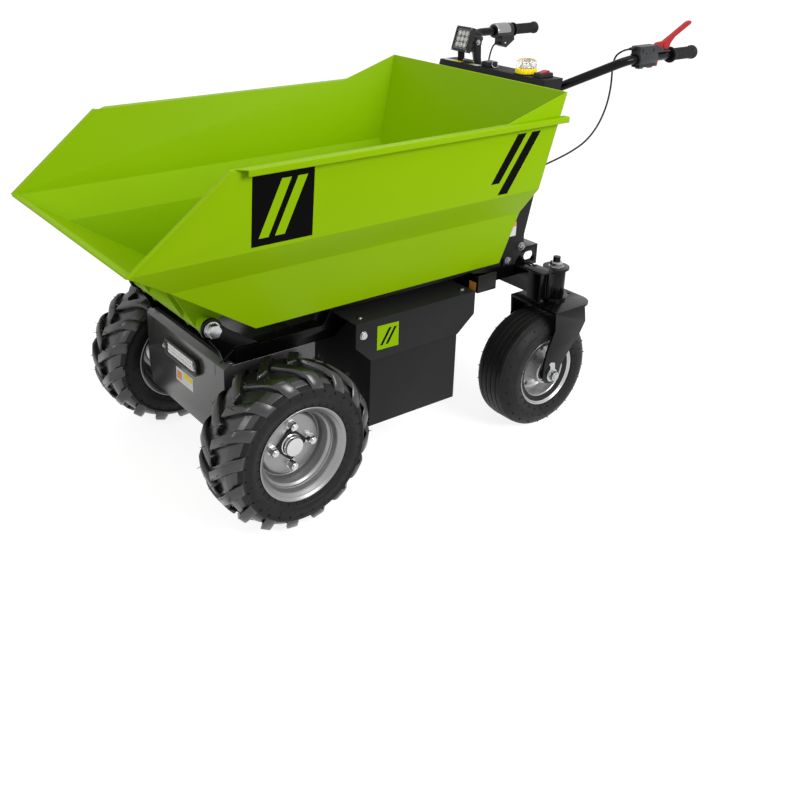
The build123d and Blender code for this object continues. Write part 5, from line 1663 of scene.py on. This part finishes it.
@dataclass
class DriveWheel(Wheel):
    """A driven wheel: lugged tyre, pressed rim, hub with its cap and nuts."""

    kind: str = "drive_wheel"
    tyre: str = "front_tyre"
    centre_y: float = 305.0
    radius: float = 203.0
    rib_rows: tuple[RibRow, ...] = (
        ("inner", 36, 0.0, 119.5, 127.5, 73.5, 76.6),
        ("middle", 22, 0.1, 141.0, 147.0, 76.0, 79.95),
        ("outer", 31, 0.05, 152.0, 157.0, 75.0, 79.6))
    half: float = 80.0
    crown: tuple[float, float, float] = (0.4, 3.6, 30.0)  # its drop at each stretch
    crown_flat: float = 26.0
    crown_edge: float = 54.0
    lugs: int = 16
    lug_steps: int = 12
    lug_start: float = -4.0
    lug_span: float = 83.4
    lug_run: float = 64.0
    lug_bend: float = 1.15
    # where a lug's trailing and leading sides start round the tyre, and how far they run
    lug_sides: tuple[Pair, Pair] = ((13.0, 52.0), (39.0, 50.0))
    lug_widening: float = 0.12
    lug_root: float = 184.0
    lug_least: float = 4.0  # from its top down to its root
    lug_tip: float = 70.0  # from here outwards the root follows the top
    lug_tip_depth: float = 8.0
    lug_foot: float = 3.0
    lug_corner: Pair = (2.0, 2.6)
    lug_top: float = 0.5
    hair_reach: float = 64.0
    hair_seed: int = 5
    wall: Pairs = (
        (70, 171), (76, 166), (79.4, 164), (79.6, 160), (77.0, 157), (78.6, 148), (79.6, 140),
        (78.0, 131), (76.5, 129), (76.2, 127), (74.4, 119.5), (72.8, 116.3), (60.2, 102.6))
    band: Pairs = ((28, 188), (46, 186), (60, 180), (70, 171), (68, 168))
    lip: Pairs = (
        (36, 90), (44, 102.4), (60, 102.4), (70.5, 113.4), (72.6, 116), (75.4, 116.4),
        (76, 114.2), (73, 111), (71.4, 108.8), (69.8, 107.8), (63, 101.4), (60, 99.8),
        (47.5, 96.8), (46, 95.2), (43, 94.6), (39, 89.4), (36, 87.8))
    dish: Pairs = ((12, 83.6), (9, 84.2), (7.4, 82.4), (9, 79.6), (15, 76.5), (17, 73), (17, 24),
                   (13, 24), (13, 73), (3, 83), (-4, 87.5), (-36, 87.8))
    hub: Pairs = ((-29.7, 0), (-29.7, 40), (5, 40), (5, 62), (13, 62), (13, 24), (16.8, 23.6),
                  (16.8, 0))
    seal_half: float = 31.0
    seal: Pair = (17.05, 20.5)
    cap: Pairs = ((16.9, 0), (16.9, 27), (22, 27), (23, 24.5), (30, 24.5), (31, 22.8),
                  (37.5, 22.5), (38, 0))
    nuts: int = 4
    nut_circle: float = 51.0
    nut_foot: float = 17.02

    def build(self) -> None:
        """Makes every piece of the wheel."""
        self._tyre()
        rim = [*self.lip, *self.dish, *((-out, reach) for out, reach in reversed(self.lip[:-1]))]
        self.turned(f"front_rim_{self.name}_look", "rim_silver", rim, 1.2, 40.0, steps=128,
                    stands_for=[f"front_rim_{self.name}"])
        self._hub()

    def _crown(self, out: float) -> float:
        """Radius of the lugs' tops.

        Args:
            out: the distance from the wheel's middle plane.

        Returns:
            The radius.
        """
        gap, drop, shoulder = self.crown
        flat, edge = self.crown_flat, self.crown_edge
        if out <= flat:
            return self.radius - gap
        if out <= edge:
            return self.radius - gap - drop * ((out - flat) / (edge - flat)) ** 2
        return self.radius - (gap + drop) - shoulder * ((out - edge) / (self.half - edge)) ** 1.5

    def _lug(self, row: int) -> bpy.types.Mesh:
        """One lug at the top of the wheel.

        Args:
            row: 1 for the lugs on the outer half, -1 for those on the inner half.

        Returns:
            The lug, round the wheel's centre.
        """
        (trail, trail_run), (lead, lead_run) = self.lug_sides
        (corner, below), sections = self.lug_corner, []
        for i in range(self.lug_steps + 1):
            out = self.lug_start + self.lug_span * i / self.lug_steps
            run = max(0.0, (out - self.lug_start) / self.lug_run) ** self.lug_bend
            back, front = trail - trail_run * run, lead - lead_run * run
            middle = (back + front) / 2
            half = (front - back) / 2 * (1.0 + self.lug_widening * run)
            top = self._crown(max(out, 0.0))
            root = min(self.lug_root, top - self.lug_least)
            if out >= self.lug_tip:
                root = top - self.lug_tip_depth
            foot, flat = half + self.lug_foot, half - corner
            profile = ((-foot, root), (-half, top - below), (-flat, top - self.lug_top),
                       (flat, top - self.lug_top), (half, top - below), (foot, root))
            turns = [((middle + x) / self.radius, reach) for x, reach in profile]
            sections.append([(reach * math.sin(turn), row * self.side * out,
                              reach * math.cos(turn)) for turn, reach in turns])
        return bevelled(Solid().loft(sections).mesh("lug", local=True), 1.2, 2, 50.0)

    def _tyre(self) -> None:
        """Carcass, tread band, lugs with their hairs, and the sides' moulded ribs."""
        self.turned(f"{self.tyre}_carcass", "tyre_rubber", whole(self.wall), 2.0, 50.0,
                    steps=144, stands_for=[self.tyre])
        self.turned(f"{self.tyre}_tread", "tread_rubber", whole(self.band), 2.0, 50.0,
                    steps=144)
        for row, title in ENDS:
            lugs = self.ringed(f"{self.tyre}_lugs_{title}", "tread_rubber", self._lug(row),
                               self.lugs, 0.0 if row == 1 else math.pi / self.lugs, 40.0)
            self._hairs(title, self.hair_seed + row, lugs.data)
        self.side_ribs()

    def _hairs(self, title: str, seed: int, lugs: bpy.types.Mesh) -> None:
        """Moulding hairs on the lugs, none of them wider out than the tyre.

        Args:
            title: the row of lugs.
            seed: the seed of their places.
            lugs: the row's mesh.
        """
        middle, source = self.centre.y / 1000.0, bpy.data.meshes.new("hairs")
        with reworked(lugs, source) as work:
            bmesh.ops.delete(work, context="FACES", geom=[
                face for face in work.faces
                if abs(face.calc_center_median().y - middle) > self.hair_reach / 1000.0])
        self.shop.grow(self.shop.nubs, f"{self.tyre}_nubs_{title}", "tread_rubber", source,
                       self.body, density=950.0, seed=seed, length=0.0085, thickness=0.0011,
                       lowest=0.12)

    def _hub(self) -> None:
        """Hub, black seal, chrome cap and four nuts on studs."""
        hub, half = f"front_hub_{self.name}", self.seal_half
        self.turned(f"{hub}_body", "zinc", self.hub, 1.2, steps=64, closed=False,
                    stands_for=[hub])
        diagonal = Face(self.centre, (X + Z).normalized(), (Z - X).normalized(), self.axis)
        self.shop.cut(f"{hub}_seal", "black_rubber", diagonal,
                      eased(rect(-half, -half, half, half), 7.0), *self.seal, 0.8,
                      body=self.body)
        self.turned(f"{hub}_cap", "chrome", self.cap, 1.0, steps=72, closed=False)
        nuts = []
        for i in range(self.nuts):
            turn = i * 2 * math.pi / self.nuts
            way = Vector((math.cos(turn), 0, math.sin(turn)))
            nuts.append((self.centre + self.axis * self.nut_foot + way * self.nut_circle,
                         self.axis))
        self.shop.bolts(f"front_nuts_{self.name}", nuts, head=(11.0, 18.0), washer=(12.0, 1.0),
                        stud=(5.5, 3.0), finish="chrome", body=self.body)


@dataclass
class Castor(Wheel):
    """A swivelling castor: fork, axle, ribbed tyre and slotted rim."""

    kind: str = "castor_wheel"
    tyre: str = "castor_tyre"
    ahead: float = -819.0
    centre_y: float = 290.0
    radius: float = 163.0
    rib_rows: tuple[RibRow, ...] = (
        ("middle", 30, 0.03, 124.0, 128.0, 64.0, 66.9),
        ("inner", 26, 0.1, 103.0, 108.0, 60.0, 64.9),
        ("outer", 24, 0.15, 146.0, 150.0, 52.0, 57.6))
    stud_ahead: float = -65.0
    cap_z: float = 443.3
    rim: Pairs = (
        (50, 9), (50, 27), (55.4, 27), (56, 28), (56, 31.5), (53.5, 34), (18, 34), (10, 38),
        (4, 46), (4, 60), (8, 66), (14, 69.5), (30, 71), (42.5, 72.6), (45, 75), (47.5, 79.5),
        (50.5, 86), (53, 90.6), (55, 91.6), (57.4, 94.6), (56.3, 96.2), (53.8, 95),
        (51.4, 88), (46, 75.4), (20, 75.2))
    slot: Pairs = rect(-14.0, -6.0, 14.0, 6.0)
    slots: int = 6
    slot_reach: float = 53.0
    slot_deep: float = 12.0
    slot_phase: float = 0.52
    tread: Pairs = (
        (7, 163), (7.4, 159.2), (9.6, 159.2), (10, 163), (24, 162.8), (24.4, 159), (26.6, 159),
        (27, 162.8), (37, 161.2), (41, 160.2), (41.4, 158.6), (43, 158.0), (50, 153),
        (57, 145.5), (61.5, 137.5), (64.0, 130), (64.6, 128.6), (65.6, 128), (65.9, 119),
        (65.0, 111), (64.2, 110), (63.6, 108.6), (61, 100), (57.5, 97.6), (53, 96), (52, 89),
        (46, 75))
    # a moulding line over the tread as (across, radius), and its section as (along, rise)
    line: Pairs = ((-49, 154), (-38, 161.2), (0, 163.2), (38, 161.2), (49, 154))
    line_section: Pairs = ((-0.5, -1.0), (-0.5, 0.35), (0.5, 0.35), (0.5, -1.0))
    lines: int = 12
    line_phase: float = 0.26
    seal: Pairs = ((56.05, 14.2), (56.05, 24), (57.5, 24), (58.4, 20), (58.4, 14.2))
    tab: Pairs = ((-9, -13), (9, -13), (11, 0), (8, 27), (15, 34), (10, 40), (-8, 36), (-11, 0))
    tab_ys: Pair = (75.9, 78.1)

    def build(self) -> None:
        """Makes every piece of the castor."""
        shop, name, fork = self.shop, self.name, f"castor_{self.name}"
        shop.dress_all(((f"castor_fork_{name}", 1.6, 3, 14.0), (f"castor_axle_{name}", 0.8)))
        self._rim()
        self._tyre()
        for way, title in ENDS:
            self.turned(f"castor_seal_{name}_{title}", "black_rubber", self.seal, 0.5, way=way,
                        steps=48)
        # the tab that keeps the axle's nut from turning, on the fork's outer leg
        shop.cut(f"castor_tab_{name}", "zinc", Face(self.centre, X, Z, self.axis),
                 eased(self.tab, 4.0), *self.tab_ys, 0.7, body=fork)
        cap = (self.ahead + self.stud_ahead, self.centre.y, self.cap_z)
        shop.bolts(f"castor_nut_{name}", [(cap, Z)], head=(17.4, 13.4), washer=(20.5, 1.0),
                   body=fork)

    def _rim(self) -> None:
        """The pressed rim: stepped flange, dished disc with slots, and the hub's barrel."""
        rim = Solid().lathe(eased(whole(self.rim), 1.0), self.centre, self.axis, steps=112)
        slot = Solid().block(Face(self.slot_reach * Z, X, Z, Y), eased(self.slot, 4.0),
                             -self.slot_deep, self.slot_deep)
        slots = self.shop.ring.run(slot.mesh("slot", local=True), count=self.slots,
                                   axis=(0, 1, 0), phase=self.slot_phase,
                                   centre=tuple(at(*self.centre)),
                                   material=self.shop.paint("rim_silver"))
        made = pierced(rim.mesh("castor_rim"), slots)
        # the lighter castor silver is painted light, standing in for light that the fork and tyre keep off the rim
        self.shop.show(f"castor_rim_{self.name}_look", smoothed(made, 32.0), "castor_silver",
                       self.body, [f"castor_rim_{self.name}"])

    def _tyre(self) -> None:
        """Grooved tyre with short nubs, cross lines and moulded ribs."""
        tyre = self.turned(f"{self.tyre}_look", "tyre_rubber", whole(self.tread), 0.6, 50.0,
                           steps=144, stands_for=[self.tyre])
        self.shop.grow(self.shop.nubs, f"{self.tyre}_nubs", "black_rubber", tyre.data.copy(),
                       self.body, density=260.0, seed=3, length=0.0016, thickness=0.0008,
                       lowest=0.02)
        line = Solid().loft([[(x, out, reach + rise) for x, rise in self.line_section]
                             for out, reach in self.line])
        self.ringed(f"{self.tyre}_lines", "tyre_rubber", line.mesh("line", local=True),
                    self.lines, self.line_phase)
        self.side_ribs()


@dataclass
class Cable:
    """A round cable through the points that it passes, made as a NURBS curve."""

    name: str
    route: tuple[Place, ...]
    length: float
    stiffness: str
    lay: str
    diameter: float = 5.0

    def build(self, shop: Shop) -> None:
        """Args:
            shop: where it is painted.
        """
        curve = bpy.data.curves.new(self.name, "CURVE")
        curve.dimensions = "3D"
        curve.bevel_depth = self.diameter / 2000.0
        curve.bevel_resolution = 4
        curve.use_fill_caps = True
        curve.resolution_u = 10
        line = curve.splines.new("NURBS")
        line.points.add(len(self.route) - 1)
        for point, place in zip(line.points, self.route):
            point.co = (*at(*place), 1.0)
        line.order_u = 3
        line.use_endpoint_u = True
        curve.materials.append(shop.paint("black_rubber"))
        made = linked(self.name + "_look", curve)
        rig.ride(made, "chassis")
        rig.replaces(made, self.name)
        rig.slot(made, "black_rubber")
        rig.cord(made, at(*self.route[0]), self.length, self.diameter / 1000.0, "object",
                self.stiffness, self.lay)
        log.info("%s on chassis: cable of %.3f m", made.name, self.length)


CABLES = (
    Cable("release_cable", (
        (-1106, 294, 1014), (-1086, 294, 1014), (-1074, 280, 1008), (-1076, 256, 990),
        (-1084, 246, 955), (-1088, 245, 908), (-1075, 248, 856), (-1046, 250, 806),
        (-1001, 252, 768), (-945, 250, 745), (-881, 245, 727), (-812, 234, 708),
        (-787, 192, 690), (-786, 134, 674), (-790, 78, 662), (-790, 20, 662),
    ), 0.743, "medium", "hanging"),
    Cable("throttle_lead", (
        (-1190, -300, 947), (-1172, -300, 947), (-1154, -292, 930), (-1136, -281, 905),
        (-1115, -266, 877), (-1086, -246, 848), (-1046, -222, 822), (-1000, -200, 806),
        (-958, -186, 800), (-912, -186, 800),
    ), 0.356, "medium", "hanging"),
)


@dataclass
class Studio:
    """Pale floor, white background, soft lights and the camera."""

    camera_place: Place = (1.5668, 1.9974, 1.3995)
    yaw: float = math.radians(54.2)
    pitch: float = math.radians(20.1)
    roll: float = math.radians(0.8)
    lens: float = 44.7
    sensor: float = 36.0
    shift: Pair = (0.0769, -0.184)
    floor_half: float = 14.0
    floor_glow: float = 0.84
    shown: float = 1.0
    ambient: float = 0.5
    lamps: tuple[tuple[str, Place, float, float], ...] = (
        ("key", (-0.5, 3.2, 2.2), 1.4, 66.0), ("top", (-0.4, 0.2, 4.2), 2.2, 28.0),
        ("front", (3.6, 0.4, 2.3), 1.2, 20.0))
    lamps_aim: Place = (0, 0, 0.5)

    def build(self) -> None:
        """Makes everything round the object."""
        self._camera()
        self._floor()
        self._world()
        self._lights()
        bpy.context.scene.view_settings.view_transform = "Standard"

    def _camera(self) -> None:
        """The camera, set by its place, its three angles and its shift."""
        forward = Vector((-math.cos(self.yaw) * math.cos(self.pitch),
                          -math.sin(self.yaw) * math.cos(self.pitch), -math.sin(self.pitch)))
        right = forward.cross(Z).normalized()
        up = right.cross(forward)
        right, up = (right * math.cos(self.roll) + up * math.sin(self.roll),
                     up * math.cos(self.roll) - right * math.sin(self.roll))
        data = bpy.data.cameras.new("camera")
        data.lens, data.sensor_width = self.lens, self.sensor
        data.shift_x, data.shift_y = self.shift
        camera = linked("camera", data)
        camera.matrix_world = Matrix.Translation(self.camera_place) @ Matrix(
            (right, up, -forward)).transposed().to_4x4()
        bpy.context.scene.camera = camera

    def _floor(self) -> None:
        """A wide pale floor, white to the camera but for the object's soft shadow."""
        mesh, half = bpy.data.meshes.new("floor"), self.floor_half
        mesh.from_pydata([(x, y, 0) for x, y in rect(-half, -half, half, half)], [],
                         [(0, 1, 2, 3)])
        floor = linked("floor", mesh)
        shader = Shader("floor", {"Base Color": Colour.FLOOR.rgba, "Roughness": 0.9,
                                  "Specular IOR Level": 0.0})
        glow = add(shader.tree, "ShaderNodeMath", {0: eye_rays(shader.tree), 1: self.floor_glow},
                   operation="MULTIPLY")
        light = shader.node("ShaderNodeEmission", {"Strength": glow.outputs[0]})
        both = shader.node("ShaderNodeAddShader", {0: shader.surface.outputs["BSDF"],
                                                   1: light.outputs["Emission"]})
        fill(shader.output, {"Surface": both.outputs[0]})
        mesh.materials.append(shader.material)
        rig.stage(floor)

    def _world(self) -> None:
        """White to the camera and in reflections, softer as a light."""
        world = bpy.data.worlds.new("studio")
        bpy.context.scene.world = world
        world.use_nodes = True
        tree = world.node_tree
        tree.nodes.clear()
        mix = add(tree, "ShaderNodeMixShader", {"Fac": eye_rays(tree)})
        for place, strength in ((1, self.ambient), (2, self.shown)):
            light = add(tree, "ShaderNodeBackground", {"Color": (1.0, 1.0, 1.0, 1.0),
                                                       "Strength": strength})
            fill(mix, {place: light.outputs[0]})
        add(tree, "ShaderNodeOutputWorld", {"Surface": mix.outputs[0]})

    def _lights(self) -> None:
        """Area lights: a key from the left side, a wide one above and one in front."""
        for name, place, size, power in self.lamps:
            data = bpy.data.lights.new(name, "AREA")
            data.energy, data.size = power, size
            light = linked(name, data)
            light.location = place
            light.rotation_euler = (Vector(self.lamps_aim) - Vector(place)).to_track_quat(
                "-Z", "Y").to_euler()


def write_sizes(key: str) -> None:
    """Args:
        key: "cad" or "visual".
    """
    path = "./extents.json"
    sizes = {} if key == "cad" else json.load(open(path))
    low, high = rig.bounds()
    sizes[key] = [list(low), list(high)]
    with open(path, "w") as out:
        json.dump(sizes, out)


def main() -> None:
    """Builds the looks, piece by piece."""
    logging.basicConfig(level=logging.INFO, format="%(message)s")
    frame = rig.load()
    write_sizes("cad")
    shop = Shop(frame)
    for cable in CABLES:
        cable.build(shop)
    Studio().build()
    Skip(shop).build()
    Chassis(shop).build()
    Column(shop).build()
    Handlebar(shop).build()
    for name, side in SIDES:
        DriveWheel(shop, name, side).build()
        Castor(shop, name, side).build()
    write_sizes("visual")


if __name__ == "__main__":
    main()
